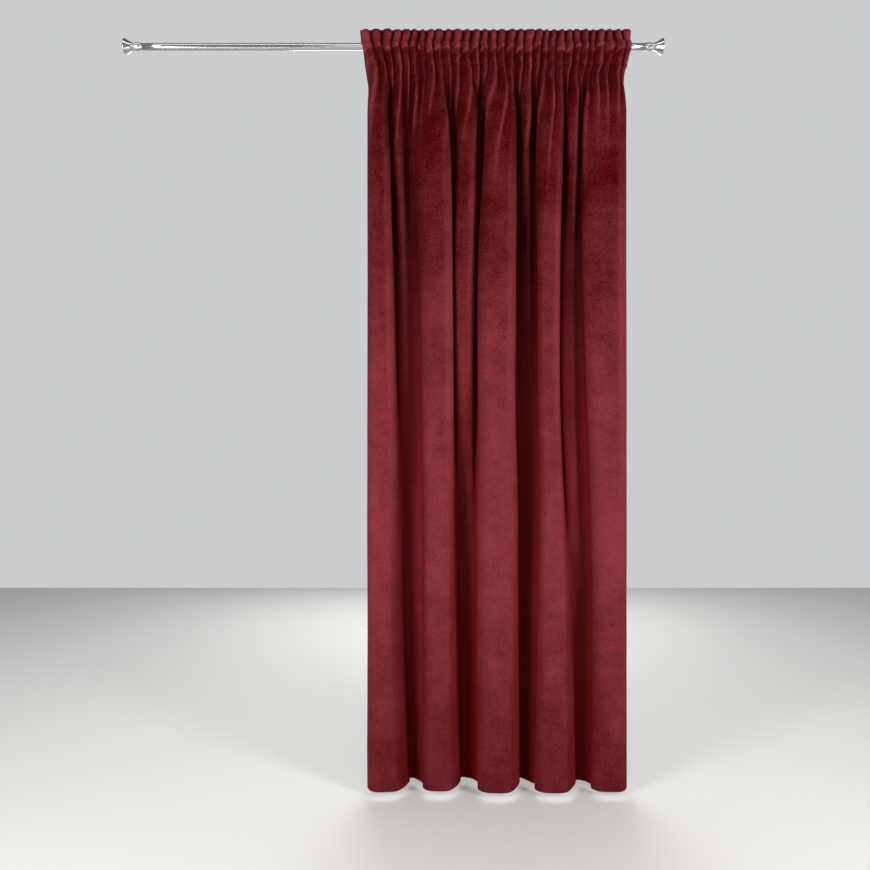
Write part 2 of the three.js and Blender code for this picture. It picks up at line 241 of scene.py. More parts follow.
# How the cloth passes from gathers into folds. The last few gathers stay plain over the rod.
OPENS_FROM = 30
OPENS_TO = 250
FACING = 1.5
PLAIN_GATHERS = 4
PLAIN_SHARE = 0.65
SLIT_FLOOR = 0.03
SLIT_SPREAD = 0.6
SLIT_CURVE = 1.7
SIDE_DEPTH = 4.0
SLEEVE_GATHER = 14
GATHER_LEAD = SLEEVE_GATHER / 2
TALLEST_GATHER = 17

# Least and most of what differs from gather to gather: its height, how bright its painted
# highlight is, and how wide its slit is, as shares; and its puff's height, lower edge and slant.
HEIGHTS = (0.88, 1.12)
SHINES = (-0.1, 0.3)
PUFF_HEIGHTS = (1.0, 10.0)
PUFF_DROPS = (6, 21)
PUFF_SLANTS = (-2, 22)
SLIT_WIDTHS = (0.02, 0.34)

# How high the cloth's soft and small ripples stand, and the sleeve's creases and puckers.
SOFT_RIPPLE, SMALL_RIPPLE = 1.3, 0.5
LARGE_CREASE, SMALL_CREASE, PUCKER = 6.0, 2.6, 1.8
FRILL_WAVE = 1.6

# How strong the highlights painted onto the pile are, and over what widths they die away.
RIM_SHINE, HEADER_RIM_SHINE = 0.35, 0.4
LIP_SHINE, CREST_SHINE, SPECK_SHINE, TONE_SHINE = 0.8, 0.7, 0.3, 0.25
LEFT_SHINE, RIGHT_SHINE, FAN_SHINE, FACE_SHINE = 1.1, 0.45, 0.7, 0.35
LEFT_WIDTH, RIGHT_WIDTH, FAN_WIDTH, LIP_WIDTH = 30, 24, 22, 3

# How much less light comes under the puffs, to the frill's stitches and into the slits.
UNDER_PUFF, AT_SEAM, IN_SLIT, IN_HEADER_SLIT = 0.6, 0.55, 0.4, 0.3
LEAST_LIGHT = 0.04

# The doubled heading: how far its fold rounds over, and its turned edge below the stitches.
FOLD_ROUNDING = 3.5
TURNED_EDGE = 14
FLAP = (TURNED_EDGE, TURNED_EDGE + 8)

# The hems that lie against the back of the cloth, and how far the thread stands proud.
HEM_GAP = 0.25
HEM_THICKNESS = 1.4
HEM_COLUMNS = 320
SEAM_INSET = 0.0006
PROUD_SHARE = 0.18

# Painted shade, as how open the cloth shows, and painted rim highlight inside the sleeve and on its
# hems.
HIDDEN_LOOKS = (0.15, 0.0)
HEM_LOOKS = (0.8, 0.0)

# Where patterns lie in the UV map, in metres: the back's are moved clear of the front's.
TURNED_OVER = 2.0
PATTERN_DROP = 2.7

DEEP_PILE, REVERSE = 0, 1

# ---- Sizes and colours that a user would change -------------------------------------------


def length_of(name, description, default):
    return FloatProperty(name=name, description=description, default=default, unit="LENGTH")


def colour_of(name, description, default):
    return FloatVectorProperty(
        name=name, description=description, default=default, size=3, subtype="COLOR", min=0, max=1
    )


class CurtainClothSizes(PropertyGroup):
    """Sizes of the hanging cloth"""

    cut_width: length_of("Cut width", "Flat width of the panel, side hems turned", 1.62)
    hanging_width: length_of("Hanging width", "Width once it hangs in folds", 0.924)
    left_side: length_of("Left side", "Where the left side hangs, along the rod", -0.093)
    hem_drop: length_of("Hem drop", "From the rod's axis to the hem", 2.646)
    lower_stitch: length_of("Lower stitching", "Drop of the stitches below the sleeve", 0.07)
    thickness: length_of("Thickness", "Thickness of the cloth with its pile", 0.002)
    bottom_hem: length_of("Bottom hem", "Height of the hem turned up at the back", 0.075)
    side_hem: length_of("Side hem", "Width of the hems turned in at the sides", 0.028)
    stitch_pitch: length_of("Stitch pitch", "From one stitch to the next", 0.0042)
    thread: length_of("Thread", "Thickness of the sewing thread", 0.0009)
    mesh_columns: IntProperty(
        name="Columns", description="Mesh columns in each gather", default=11, min=4, max=12
    )


class CurtainRodSizes(PropertyGroup):
    """Sizes of the rod and its finials"""

    length: length_of("Length", "Length of the tube without its finials", 1.8)
    radius: length_of("Radius", "Outer radius of the tube", 0.0125)
    bore: length_of("Bore", "Inner radius of the tube", 0.0115)
    sides: IntProperty(name="Sides", description="Sides of the turned metal", default=96, min=24)


class CurtainFinishes(PropertyGroup):
    """Colours of the curtain and its rod"""

    # Painted shade: the colour put into the folds and slits where they lie in shade.
    deep: colour_of("Deep folds", "Velvet at the bottom of its folds", (0.105, 0.0009, 0.0019))
    pile: colour_of("Pile", "Velvet seen into its pile", (0.037, 0.0005, 0.0009))
    # Painted highlight: the colour mixed in where light or sheen is painted onto the pile.
    painted_highlight: colour_of("Bloom", "Velvet where its pile catches the light", (0.148, 0.0215, 0.027))
    reverse: colour_of("Reverse", "Plain back of the velvet", (0.075, 0.008, 0.011))
    thread: colour_of("Thread", "Sewing thread", (0.03, 0.0012, 0.002))
    metal: colour_of("Metal", "Polished plating of the rod", (0.52, 0.53, 0.55))
    floor: colour_of("Floor", "Pale floor", (0.66, 0.65, 0.63))


class CurtainStageSizes(PropertyGroup):
    """The camera, the lights and the floor"""

    eye_drop: length_of("Eye drop", "Camera's height below the rod", 1.39)
    eye_across: length_of("Eye across", "Camera's place along the rod", 0.148)
    distance: length_of("Distance", "Camera's distance from the rod", 2.7)
    field: length_of("Field", "Width of view at the rod", 3.1146)
    floor_gap: length_of("Floor gap", "From the hem down to the floor", 0.02)
    key_light: FloatProperty(
        name="Side lights", description="Power of the tall lights at the sides", default=118, min=0
    )


# ---- The folds in plan --------------------------------------------------------------------


def millimetres(length):
    """A length of the scene in millimetres, to the nearest thousandth."""
    return round(length / MM, 3)


def smoothstep(value, low, high):
    t = np.clip((value - low) / (high - low), 0, 1)
    return t * t * (3 - 2 * t)


def hump(value, start, full, fades, gone):
    """A share that rises to 1 from start to full, and falls to 0 again from fades to gone."""
    return smoothstep(value, start, full) * (1 - smoothstep(value, fades, gone))


def column_at(rows, name, drop):
    """A smooth value from one column of a table whose rows run down the cloth."""
    drops, values = rows["drop"], rows[name]
    slopes = np.gradient(values, drops)
    inner = slice(1, -1)
    slopes[inner] = (values[2:] - values[:-2]) / (drops[2:] - drops[:-2])
    held = np.clip(drop, drops[0], drops[-1])
    k = int(np.clip(np.searchsorted(drops, held) - 1, 0, len(drops) - 2))
    span = drops[k + 1] - drops[k]
    t = (held - drops[k]) / span
    bend = (slopes[k] * (1 - t) - slopes[k + 1] * t) * span
    along = t * t * (3 - 2 * t)
    return values[k] * (1 - along) + values[k + 1] * along + t * (1 - t) * bend


def lattice_noise(x, y, seed):
    """Smooth noise from -1 to 1, with one bump to about two units."""
    size = 64
    grid = np.random.default_rng(seed).uniform(-1, 1, (size, size))
    left, low = np.floor(x).astype(int), np.floor(y).astype(int)
    across, up = smoothstep(x - left, 0, 1), smoothstep(y - low, 0, 1)
    corners = [grid[(left + i) % size, (low + j) % size] for j in (0, 1) for i in (0, 1)]
    bottom = corners[0] * (1 - across) + corners[1] * across
    top = corners[2] * (1 - across) + corners[3] * across
    return bottom * (1 - up) + top * up


def fold_points(drop, depth, hanging_width, hem_drop):
    """Points of the folds at one drop, as (across, forward), with their depth scaled."""
    lean = LEAN_TOP + (LEAN_HEM - LEAN_TOP) * smoothstep(drop, LEAN_FROM, hem_drop)
    soft = float(smoothstep(drop, SOFT_FROM, SOFT_TO))
    points = list(LEFT_TURN)
    for k, crown in enumerate(CROWNS):
        before = VALLEYS[k - 1] if k else None
        after = VALLEYS[k] if k < len(VALLEYS) else None
        left = column_at(before["rows"], "left", drop) if before else 0
        right = column_at(after["rows"], "right", drop) if after else hanging_width
        if before:
            rise = WALL_SLOPE * before["slope"] * soft
            points.append((left + before["tuck"], before["floor"] * (WALL_FLOOR - rise)))
            points.append((left, crown * EDGE_CROWN))
        inset = SHOULDER * (right - left)
        points.append((left + inset, crown * SHOULDER_CROWN))
        points.append(((left + right) / 2, crown))
        points.append((right - inset, crown * SHOULDER_CROWN))
        if after:
            rows, floor = after["rows"], after["floor"]
            start, stop = column_at(rows, "start", drop), column_at(rows, "stop", drop)
            small_crown = floor + (crown - floor) * column_at(rows, "reach", drop)
            small_edge = floor + (small_crown - floor) * SMALL_SHOULDER
            wall = right + lean
            far_wall = column_at(rows, "left", drop) + after["tuck"]
            slope = after["slope"] * soft
            points.append((right, crown * EDGE_CROWN))
            points.append((wall, floor * WALL_FLOOR))
            deep = CORNER_FLOOR * (1 - SHALLOW_CORNER * column_at(rows, "reach", drop))
            points.append(((wall + start) / 2, floor * (deep - NEAR_SOFT * soft)))
            points.append((start, small_edge))
            points.append(((start + stop) / 2, small_crown - floor * CROWN_SLOPE * slope))
            points.append((stop, small_edge - floor * (EDGE_SOFT * soft + FAR_SLOPE * slope)))
            corner = floor * (deep - FAR_SOFT * soft - FAR_SLOPE * slope)
            points.append(((stop + far_wall) / 2, corner))
    points += [(hanging_width + across, ahead) for across, ahead in RIGHT_TURN]
    return np.array(points, float) * (1, depth)


def smooth_through(points, steps=24):
    """A fine line along the centripetal Catmull-Rom curve through points."""
    ends = (2 * points[0] - points[1], 2 * points[-1] - points[-2])
    padded = np.vstack([ends[0], points, ends[1]])
    gaps = np.linalg.norm(np.diff(padded, axis=0), axis=1)[:, None] ** 0.5
    p0, p1, p2, p3 = padded[:-3], padded[1:-2], padded[2:-1], padded[3:]
    d0, d1, d2 = gaps[:-2], gaps[1:-1], gaps[2:]
    out = ((p1 - p0) / d0 - (p2 - p0) / (d0 + d1) + (p2 - p1) / d1) * d1
    into = ((p2 - p1) / d1 - (p3 - p1) / (d1 + d2) + (p3 - p2) / d2) * d1
    t = np.linspace(0, 1, steps, endpoint=False)[None, :, None]
    square, cube = 3 * (p2 - p1) - 2 * out - into, 2 * (p1 - p2) + out + into
    line = p1[:, None] + out[:, None] * t + square[:, None] * t**2 + cube[:, None] * t**3
    return np.vstack([line.reshape(-1, 2), points[-1:]])


def spans_of(line):
    return np.linalg.norm(np.diff(line, axis=0), axis=1)


def forward_normals(line):
    """Unit normals towards the room, one for each point of a line that runs to the right."""
    last = len(line) - 1
    at = np.arange(last + 1)
    run = line[np.minimum(at + 1, last)] - line[np.maximum(at - 1, 0)]
    normals = np.column_stack([-run[:, 1], run[:, 0]])
    return normals / np.linalg.norm(normals, axis=1)[:, None]


def openness_of(points, side):
    """How much of the room each point of a line sees, from 0 in a slit to 1 on a flat face."""
    across, ahead = points[:, 0], points[:, 1] * side
    order = np.arange(len(points))
    run = across[None, :] - across[:, None]
    rise = ahead[None, :] - ahead[:, None]
    run = np.where(order[None, :] > order[:, None], run, -run)
    facing = np.where(rise > 0.01, run / np.hypot(run, rise + 1e-9), 1.0)
    right = np.triu(facing, 1) + np.tril(np.ones_like(facing))
    left = np.tril(facing, -1) + np.triu(np.ones_like(facing))
    return np.clip((right.min(axis=1) + left.min(axis=1)) / 2, 0, 1)


def rims_of(points):
    """Where a line turns away to the right, for the sheen highlight painted on the pile there."""
    run = np.diff(points, axis=0)
    heading = np.unwrap(np.arctan2(run[:, 1], run[:, 0]))
    turn = -np.diff(heading)
    length = (spans_of(points)[:-1] + spans_of(points)[1:]) / 2
    bend = np.concatenate([[0], turn / np.maximum(length, 1), [0]])
    bend = np.convolve(bend, (0.25, 0.5, 0.25), mode="same")
    right = smoothstep(forward_normals(points)[:, 0], 0.1, 0.75)
    return np.clip(bend * 9, 0, 1) * right


def crowded(edges, columns):
    """Shares of the way across, closer together near some edges."""
    fine = np.linspace(0, 1, 8001)
    density = np.ones(len(fine))
    for edge in edges:
        density += CROWD * np.exp(-(((fine - edge) / CROWD_REACH) ** 2))
    run = np.concatenate([[0], np.cumsum((density[1:] + density[:-1]) / 2)])
    return np.interp(np.linspace(0, 1, columns + 1), run / run[-1], fine)


def arched(phase):
    """A round crown across each gather."""
    return np.sin(math.pi * np.clip(phase, 0, 1)) ** 0.5


class Drape:
    """The cloth's hanging lines at any drop, worked out from its sizes and the tables."""

    def __init__(self, sizes, rod):
        self.cut_width = millimetres(sizes.cut_width)
        self.hanging_width = millimetres(sizes.hanging_width)
        self.left_side = millimetres(sizes.left_side)
        self.hem_drop = millimetres(sizes.hem_drop)
        self.lower_stitch = millimetres(sizes.lower_stitch)
        self.thickness = millimetres(sizes.thickness)
        self.top = float(ROWS["drop"][0])
        self.frill_stitch = float(ROWS["drop"][1])
        self.touching = millimetres(rod.radius) + 0.5 + self.thickness / 2
        self.slits_at = {}
        gathers = len(SLITS["frill"]) + 1
        rng = np.random.default_rng(7)
        self.heights = rng.uniform(*HEIGHTS, gathers)
        self.shine = rng.uniform(*SHINES, gathers)
        self.puff_height = rng.uniform(*PUFF_HEIGHTS, gathers)
        self.puff_drop = rng.uniform(*PUFF_DROPS, gathers)
        self.puff_slant = rng.uniform(*PUFF_SLANTS, gathers)
        self.slit_width = rng.uniform(*SLIT_WIDTHS, gathers)

    def slit_shares(self, name):
        """Shares of the way across where the slits of one column of the table are."""
        if name not in self.slits_at:
            fine = np.linspace(0, 1, 1601)
            line = self.base_line(SLIT_DROPS[name], fine)
            run = np.maximum.accumulate(line[:, 0]) + fine * 1e-3
            inner = np.interp(SLITS[name], run, fine)
            self.slits_at[name] = np.concatenate([[0.0], inner, [1.0]])
        return self.slits_at[name]

    def slits(self, drop):
        """Shares of the way across where the slits are at one drop, with the two sides."""
        names, drops = list(SLIT_DROPS), list(SLIT_DROPS.values())
        held = np.clip(drop, drops[0], drops[-1])
        k = int(np.clip(np.searchsorted(drops, held) - 1, 0, len(drops) - 2))
        along = smoothstep(held, drops[k], drops[k + 1])
        return self.slit_shares(names[k]) * (1 - along) + self.slit_shares(names[k + 1]) * along

    def gather_at(self, drop, shares):
        """Which gather each point is in, and how far across it."""
        edges = self.slits(drop)
        k = np.clip(np.searchsorted(edges, shares, side="right") - 1, 0, len(edges) - 2)
        return k, (shares - edges[k]) / np.maximum(edges[k + 1] - edges[k], 1e-6)

    def shares_at(self, drop, columns):
        """Shares of the way across, crowded into the slits of the gathers."""
        even = np.linspace(0, 1, columns * (len(SLITS["frill"]) + 1) + 1)
        spread = float(smoothstep(drop, SPREADS_FROM, SPREADS_TO))
        if spread == 1:
            return even
        near = crowded(self.slits(drop) - SEAM_INSET, len(even) - 1)
        return near * (1 - spread) + even * spread

    def folded_line(self, drop, shares):
        """The main folds alone, as deep as the cloth's width makes them."""
        low, high = LEAST_DEPTH, MOST_DEPTH
        for _ in range(HALVINGS):
            middle = (low + high) / 2
            line = smooth_through(fold_points(drop, middle, self.hanging_width, self.hem_drop))
            if spans_of(line).sum() < self.cut_width:
                low = middle
            else:
                high = middle
        run = np.concatenate([[0], np.cumsum(spans_of(line))])
        run /= run[-1]
        return np.column_stack([np.interp(shares, run, line[:, i]) for i in (0, 1)])

    def base_line(self, drop, shares):
        """The cloth without its gathers: a straight heading that opens into the folds."""
        left, right = column_at(ROWS, "left", drop), column_at(ROWS, "right", drop)
        straight = np.column_stack([left + (right - left) * shares, np.zeros(len(shares))])
        opened = float(smoothstep(drop, OPENS_FROM, OPENS_TO))
        if opened == 0:
            return straight
        return straight * (1 - opened) + self.folded_line(drop, shares) * opened

    def gather_rise(self, drop, shares):
        """How far forward the cloth stands from the bottoms of its slits."""
        height = float(column_at(ROWS, "gather", drop))
        k, phase = self.gather_at(drop, shares)
        fade = 1 - smoothstep(drop, self.lower_stitch, SLITS["fades"])
        depth = np.concatenate([[SIDE_DEPTH], SLITS["depth"] * fade, [SIDE_DEPTH]])
        if drop < self.lower_stitch:
            depth = np.full(len(depth), height)
            depth[-PLAIN_GATHERS:] *= 1 - PLAIN_SHARE * hump(drop, -12, 6, 44, 66)
        ramp, fall = (float(column_at(ROWS, name, drop)) for name in ("ramp", "fall"))
        near = float(1 - smoothstep(drop, 90, 200))
        wide = 1 + 0.5 * float(smoothstep(drop, 14, 40))
        widths = np.append(self.slit_width, 0.0) * near * wide
        floor = SLIT_FLOOR + SLIT_SPREAD * widths[k]
        fall = fall - SLIT_SPREAD * widths[k + 1]
        before = (1 - np.clip((phase - floor) / ramp, 0, 1)) ** SLIT_CURVE
        after = smoothstep(phase, fall, fall + 0.16)
        rise = height * self.heights[k] - depth[k] * before - depth[k + 1] * after
        return np.clip(rise, -GATHER_LEAD, TALLEST_GATHER)

    def line(self, drop, shares):
        """Mid line of the cloth at one drop, as points and their normals towards the room."""
        base = self.base_line(drop, shares)
        facing = np.maximum(forward_normals(base)[:, 1], 0) ** FACING
        lead = GATHER_LEAD * (1 - smoothstep(drop, self.lower_stitch, OPENS_TO))
        points = base.copy()
        points[:, 1] += facing * self.gather_rise(drop, shares) - lead
        normals = forward_normals(points)
        return points + normals * self.ripple(drop, shares)[:, None], normals

    def ripple(self, drop, shares):
        """Soft unevenness of the hanging cloth, along its normals."""
        flat = shares * self.cut_width
        soft = lattice_noise(flat / 46, drop / 420, 11) * SOFT_RIPPLE
        soft += lattice_noise(flat / 19, drop / 150, 12) * SMALL_RIPPLE
        return soft * float(smoothstep(drop, self.lower_stitch, 380))

    def sleeve_offsets(self, drop, shares):
        """How far the front and back of the sleeve stand off the line of the stitches."""
        stand = float(np.interp(drop, SLEEVE["drop"], SLEEVE["stand"]))
        front = stand * (self.touching + GATHER_LEAD)
        back = stand * (self.touching + TALLEST_GATHER - GATHER_LEAD)
        return front + self.crumple(drop, shares) + self.puffs(drop, shares), back

    def fades_of(self, k):
        """The drops at which the slits to the right of these gathers have faded."""
        return SLITS["fades"][np.minimum(k, len(SLITS["fades"]) - 1)]

    def puffs(self, drop, shares):
        """Each gather sags over the rod in a small puff with a slanting lower edge."""
        k, phase = self.gather_at(drop, shares)
        edge = self.puff_drop[k] - self.puff_slant[k] * (phase - 0.5)
        return self.puff_height[k] * arched(phase) * hump(drop, -13, edge - 2, edge, edge + 8)

    def puff_edge(self, drop, shares):
        """How far a point is below its puff's lower edge and across it, and which puff it is."""
        k, phase = self.gather_at(drop, shares)
        return drop - self.puff_drop[k] + self.puff_slant[k] * (phase - 0.5), phase, k

    def painted_highlight(self, drop, shares, line):
        """Where highlights are painted onto the pile: rims, lower edges of puffs, gathers' crests, and
        the sides.
        """
        below, phase, k = self.puff_edge(drop, shares)
        near = float(1 - smoothstep(drop, 40, 90))
        header = (1 - near) * (1 - smoothstep(drop, 180, self.fades_of(k) + 80))
        specks = lattice_noise(shares * self.hanging_width / 7, drop / 5, 23) * near
        lips = np.exp(-((below / LIP_WIDTH) ** 2)) * arched(phase) * np.clip(0.75 + specks, 0.2, 1.4)
        past = phase - float(column_at(ROWS, "fall", drop))
        # Painted highlights along each gather's right edge, stronger for brighter gathers.
        crest = np.exp(-(((past + 0.01) / 0.1) ** 2)) * header
        crest += (0.3 + 2 * self.shine[k]) * np.exp(-(((past + 0.12) / 0.2) ** 2)) * near
        # Painted light on both sides and the left end, and on faces that turn to the right.
        left, right = -shares * self.cut_width, (shares - 1) * self.cut_width
        sides = LEFT_SHINE * np.exp(left / LEFT_WIDTH) + RIGHT_SHINE * np.exp(right / RIGHT_WIDTH)
        fans = FAN_SHINE * np.exp(left / FAN_WIDTH) * near
        leans = smoothstep(forward_normals(line)[:, 0], 0.03, 0.4)
        face = FACE_SHINE * leans * float(hump(drop, 250, 600, 1100, 1700))
        tones = TONE_SHINE * (self.shine[k] - SHINES[0]) * header
        rims = rims_of(line) * (RIM_SHINE + HEADER_RIM_SHINE * header)
        shown = rims + LIP_SHINE * lips + sides + face + fans
        return np.clip(shown + CREST_SHINE * crest + SPECK_SHINE * specks + tones, 0, 1)

    def shadow(self, drop, shares, line):
        """What of the light comes past the puffs and the seam, and into slits and valleys."""
        below, phase, k = self.puff_edge(drop, shares)
        under = UNDER_PUFF * hump(below, 1, 8, 14, 40) * float(smoothstep(drop, 0, 14))
        seam = AT_SEAM * math.exp(-(((drop - self.frill_stitch) / 2.6) ** 2))
        inside = 1 - hump(phase, 0.04, 0.22, 0.86, 0.97)
        inside *= 1 - smoothstep(drop, self.lower_stitch, self.fades_of(k))
        inside *= IN_SLIT + IN_HEADER_SLIT * float(hump(drop, 30, 60, 120, 220))
        dark = under + seam + inside
        for parting in VALLEYS:
            right, left = (column_at(parting["rows"], side, drop) for side in ("right", "left"))
            within = hump(line[:, 0], right + 4, right + 16, left - 22, left - 6)
            dark += parting["gloom"] * within * float(hump(drop, 330, 560, 1300, 1700))
        return np.clip(1 - dark, LEAST_LIGHT, 1)

    def crumple(self, drop, shares):
        """The sleeve's front creases aslant where it turns in below the rod."""
        flat = shares * self.hanging_width
        slant = lattice_noise((flat + 1.2 * drop) / 15, (drop - 0.25 * flat) / 19, 21)
        small = lattice_noise((flat + 0.6 * drop) / 8, drop / 8, 22)
        pucker = smoothstep(flat, 0.9 * self.hanging_width, 0.95 * self.hanging_width)
        shirred = pucker * np.sin(drop * 2 * math.pi / 15 + flat / 9)
        creases = LARGE_CREASE * np.maximum(slant, 0) + SMALL_CREASE * np.maximum(small, 0)
        return float(hump(drop, -12, 14, 40, 64)) * (creases + PUCKER * shirred)

    def top_edge(self, drop, shares):
        """How far the frill's edge rises above or falls below its true line."""
        share = float(smoothstep(-drop, -self.frill_stitch, -self.top))
        flat = shares * self.hanging_width
        return share * FRILL_WAVE * lattice_noise(flat / 24, 3.5, 31)

    def place(self, points, drop, rise=0.0):
        """Points of a line as coordinates in metres."""
        up = np.full(len(points), -float(drop)) + rise
        return np.column_stack([self.left_side + points[:, 0], -points[:, 1], up]) * MM

    def drops(self):
        """Drops of the mesh's rows, closest in the heading."""
        frill = [-63, -62.5, -61.4, -59.5, -56, -51, -46, -41, -36, -31, -26, -22, -18.5]
        sleeve = [-16, -14.6, -13, -11.5, -10, -7, -3.5, 0, 3, 6, 9, 12, 15, 18, 21, 24, 27, 30]
        sleeve += [34, 38, 43, 48, 54, 60, 65.5]
        header = [self.lower_stitch, 73, 77] + list(np.arange(82, 300, 8.2))
        below = np.geomspace(1, 5.6, 35)
        below = 302 + np.cumsum(below) * (self.hem_drop - 2 - 302) / below.sum()
        return frill, sleeve, header + [302] + list(below) + [self.hem_drop]


# ---- Meshes -------------------------------------------------------------------------------


def in_scene(name, data):
    """A new object at the origin of the scene."""
    made = bpy.data.objects.new(name, data)
    bpy.context.scene.collection.objects.link(made)
    return made


def piece_from(name, points, faces, materials):
    """An object at the origin with its place in its mesh."""
    mesh = bpy.data.meshes.new(name)
    mesh.from_pydata(np.asarray(points, float).tolist(), [], faces)
    for material in materials:
        mesh.materials.append(material)
    mesh.validate()
    mesh.shade_smooth()
    return in_scene(name, mesh)


def joined_rows(upper, lower, turned):
    """Faces between two rows of points, whose outside faces the room unless it is turned."""
    found = []
    for k in range(len(upper) - 1):
        face = (upper[k], lower[k], lower[k + 1], upper[k + 1])
        found.append(face[::-1] if turned else face)
    return found


class ClothMesh:
    """Collects a closed sheet of cloth: its points, faces, flat places, and the painted shade and
    highlights of its pile.
    """

    def __init__(self, drape):
        self.drape = drape
        self.points, self.flat, self.looks = [], [], []
        self.faces, self.finishes = [], []
        self.count = 0

    def row(self, line, drop, shares, looks, turned_over=True, rise=0.0):
        """Adds a line's points with their painted shade (how open each is) and painted rim highlight,
        and returns their numbers.
        """
        first = self.count
        self.count += len(line)
        self.points.append(self.drape.place(line, drop, rise))
        flat = shares * self.drape.cut_width * MM + (TURNED_OVER if turned_over else 0.0)
        self.flat.append(np.column_stack([flat, np.full(len(shares), drop * MM)]))
        self.looks.append(np.column_stack(looks) * np.ones((len(shares), 1)))
        return list(range(first, self.count))

    def add(self, faces, finish=DEEP_PILE):
        self.faces += faces
        self.finishes += [finish] * len(faces)

    def sides(self, front, back):
        """Closes both sides between two rows, each given as (upper, lower)."""
        for k, left in ((0, True), (len(front[0]) - 1, False)):
            face = (front[0][k], back[0][k], back[1][k], front[1][k])
            self.add([face if left else face[::-1]])

    def seam_ends(self, seam, plain, turned):
        """Closes both sides between a row with a seam inside it and a plain row."""
        for k, left in ((0, True), (len(plain["front"]) - 1, False)):
            middle = seam["inner"][0][k]
            faces = [
                (seam["front"][k], middle, plain["front"][k]),
                (middle, plain["back"][k], plain["front"][k]),
                (middle, seam["back"][k], plain["back"][k]),
            ]
            flip = turned if left else not turned
            self.add([face[::-1] if flip else face for face in faces])

    def piece(self, name, materials):
        """The finished object, with its UV map and its painted shade and highlights as attributes."""
        piece = piece_from(name, np.vstack(self.points), self.faces, materials)
        mesh = piece.data
        flat, looks = np.vstack(self.flat), np.vstack(self.looks)
        corners = np.zeros(len(mesh.loops), np.int32)
        mesh.loops.foreach_get("vertex_index", corners)
        layer = mesh.uv_layers.new(name=CLOTH_UV)
        layer.uv.foreach_set("vector", flat[corners].astype(np.float32).ravel())
        for look, values in zip((OPEN, RIM), looks.T):
            attribute = mesh.attributes.new(look, "FLOAT", "POINT")
            attribute.data.foreach_set("value", values.astype(np.float32))
        mesh.polygons.foreach_set("material_index", np.array(self.finishes, np.int32))
        mesh.set_sharp_from_angle(angle=math.radians(80))
        mesh.update()
        return piece


def skin_of(drape, drop):
    """How far the cloth's faces stand off its mid line: twice as far where it is doubled."""
    half = drape.thickness / 2
    to_fold = max(0.0, 1 - (drop - drape.top) / FOLD_ROUNDING)
    if drop <= drape.lower_stitch:
        return 2 * half * math.sqrt(1 - to_fold**2 * 0.94)
    if drop < drape.lower_stitch + TURNED_EDGE:
        return half * (2 - (drop - drape.lower_stitch) / TURNED_EDGE)
    return half


def cloth_row(mesh, drop, columns, sleeve):
    """Adds the cloth's points at one drop: its front, its back, and its inside in the sleeve."""
    drape = mesh.drape
    shares = drape.shares_at(drop, columns)
    line, normals = drape.line(drop, shares)
    # The pile gets painted shade where the cloth sees little of the room, under puffs, at the seam and
    # in slits, and painted highlights.
    seen = openness_of(line, 1) * drape.shadow(drop, shares, line)
    looks = (seen, drape.painted_highlight(drop, shares, line))
    behind_looks = (openness_of(line, -1), 0 * shares)
    rise = drape.top_edge(drop, shares)
    hollow = drop in sleeve[1:]
    ahead, behind = drape.sleeve_offsets(drop, shares) if hollow else (0, 0)
    skin = normals * (drape.thickness / 2 if hollow else skin_of(drape, drop))
    front, back = line.copy(), line.copy()
    front[:, 1] += ahead
    back[:, 1] -= behind
    row = {"drop": drop, "inner": None}
    row["front"] = mesh.row(front + skin, drop, shares, looks, False, rise)
    row["back"] = mesh.row(back - skin, drop, shares, behind_looks, True, rise)
    if hollow:
        inside = (front - skin, back + skin)
        row["inner"] = tuple(mesh.row(at, drop, shares, HIDDEN_LOOKS) for at in inside)
    elif drop in (sleeve[0], drape.lower_stitch):
        row["inner"] = (mesh.row(line, drop, shares, HIDDEN_LOOKS),) * 2
    return row


def hang_cloth(drape, columns, materials):
    """The curtain as one closed sheet with a sleeve for the rod."""
    frill, sleeve, rest = drape.drops()
    mesh = ClothMesh(drape)
    rows = [cloth_row(mesh, drop, columns, sleeve) for drop in frill + sleeve + rest]
    for upper, lower in zip(rows[:-1], rows[1:]):
        behind = DEEP_PILE if lower["drop"] <= drape.lower_stitch else REVERSE
        mesh.add(joined_rows(upper["front"], lower["front"], False))
        mesh.add(joined_rows(upper["back"], lower["back"], True), behind)
        front, back = ((upper[name], lower[name]) for name in ("front", "back"))
        if upper["inner"] and lower["inner"]:
            inner = [(upper["inner"][i], lower["inner"][i]) for i in (0, 1)]
            mesh.add(joined_rows(*inner[0], True), REVERSE)
            mesh.add(joined_rows(*inner[1], False), REVERSE)
            mesh.sides(front, inner[0])
            mesh.sides(inner[1], back)
        elif upper["inner"]:
            mesh.seam_ends(upper, lower, False)
        elif lower["inner"]:
            mesh.seam_ends(lower, upper, True)
        else:
            mesh.sides(front, back)
    mesh.add(joined_rows(rows[0]["back"], rows[0]["front"], False))
    mesh.add(joined_rows(rows[-1]["front"], rows[-1]["back"], False))
    return mesh.piece("curtain_cloth", materials)


def turned_band(mesh, shares, drops, thick=HEM_THICKNESS):
    """Adds a thin closed band that lies against the back of the cloth."""
    near = mesh.drape.thickness / 2 + HEM_GAP
    rows = []
    for drop in drops:
        line, normals = mesh.drape.line(drop, shares)
        faces = (line - normals * near, line - normals * (near + thick))
        rows.append([mesh.row(face, drop, shares, HEM_LOOKS) for face in faces])
    for upper, lower in zip(rows[:-1], rows[1:]):
        inner, outer = zip(upper, lower)
        mesh.add(joined_rows(*inner, False))
        mesh.add(joined_rows(*outer, True))
        mesh.sides(inner, outer)
    mesh.add(joined_rows(rows[0][1], rows[0][0], False))
    mesh.add(joined_rows(*rows[-1], False))


def between_hems(side, inset):
    """Shares of the way across that are clear of both side hems by an inset."""
    full = np.linspace(0, 1, HEM_COLUMNS + 1)
    return full[(full > side + inset) & (full < 1 - side - inset)]


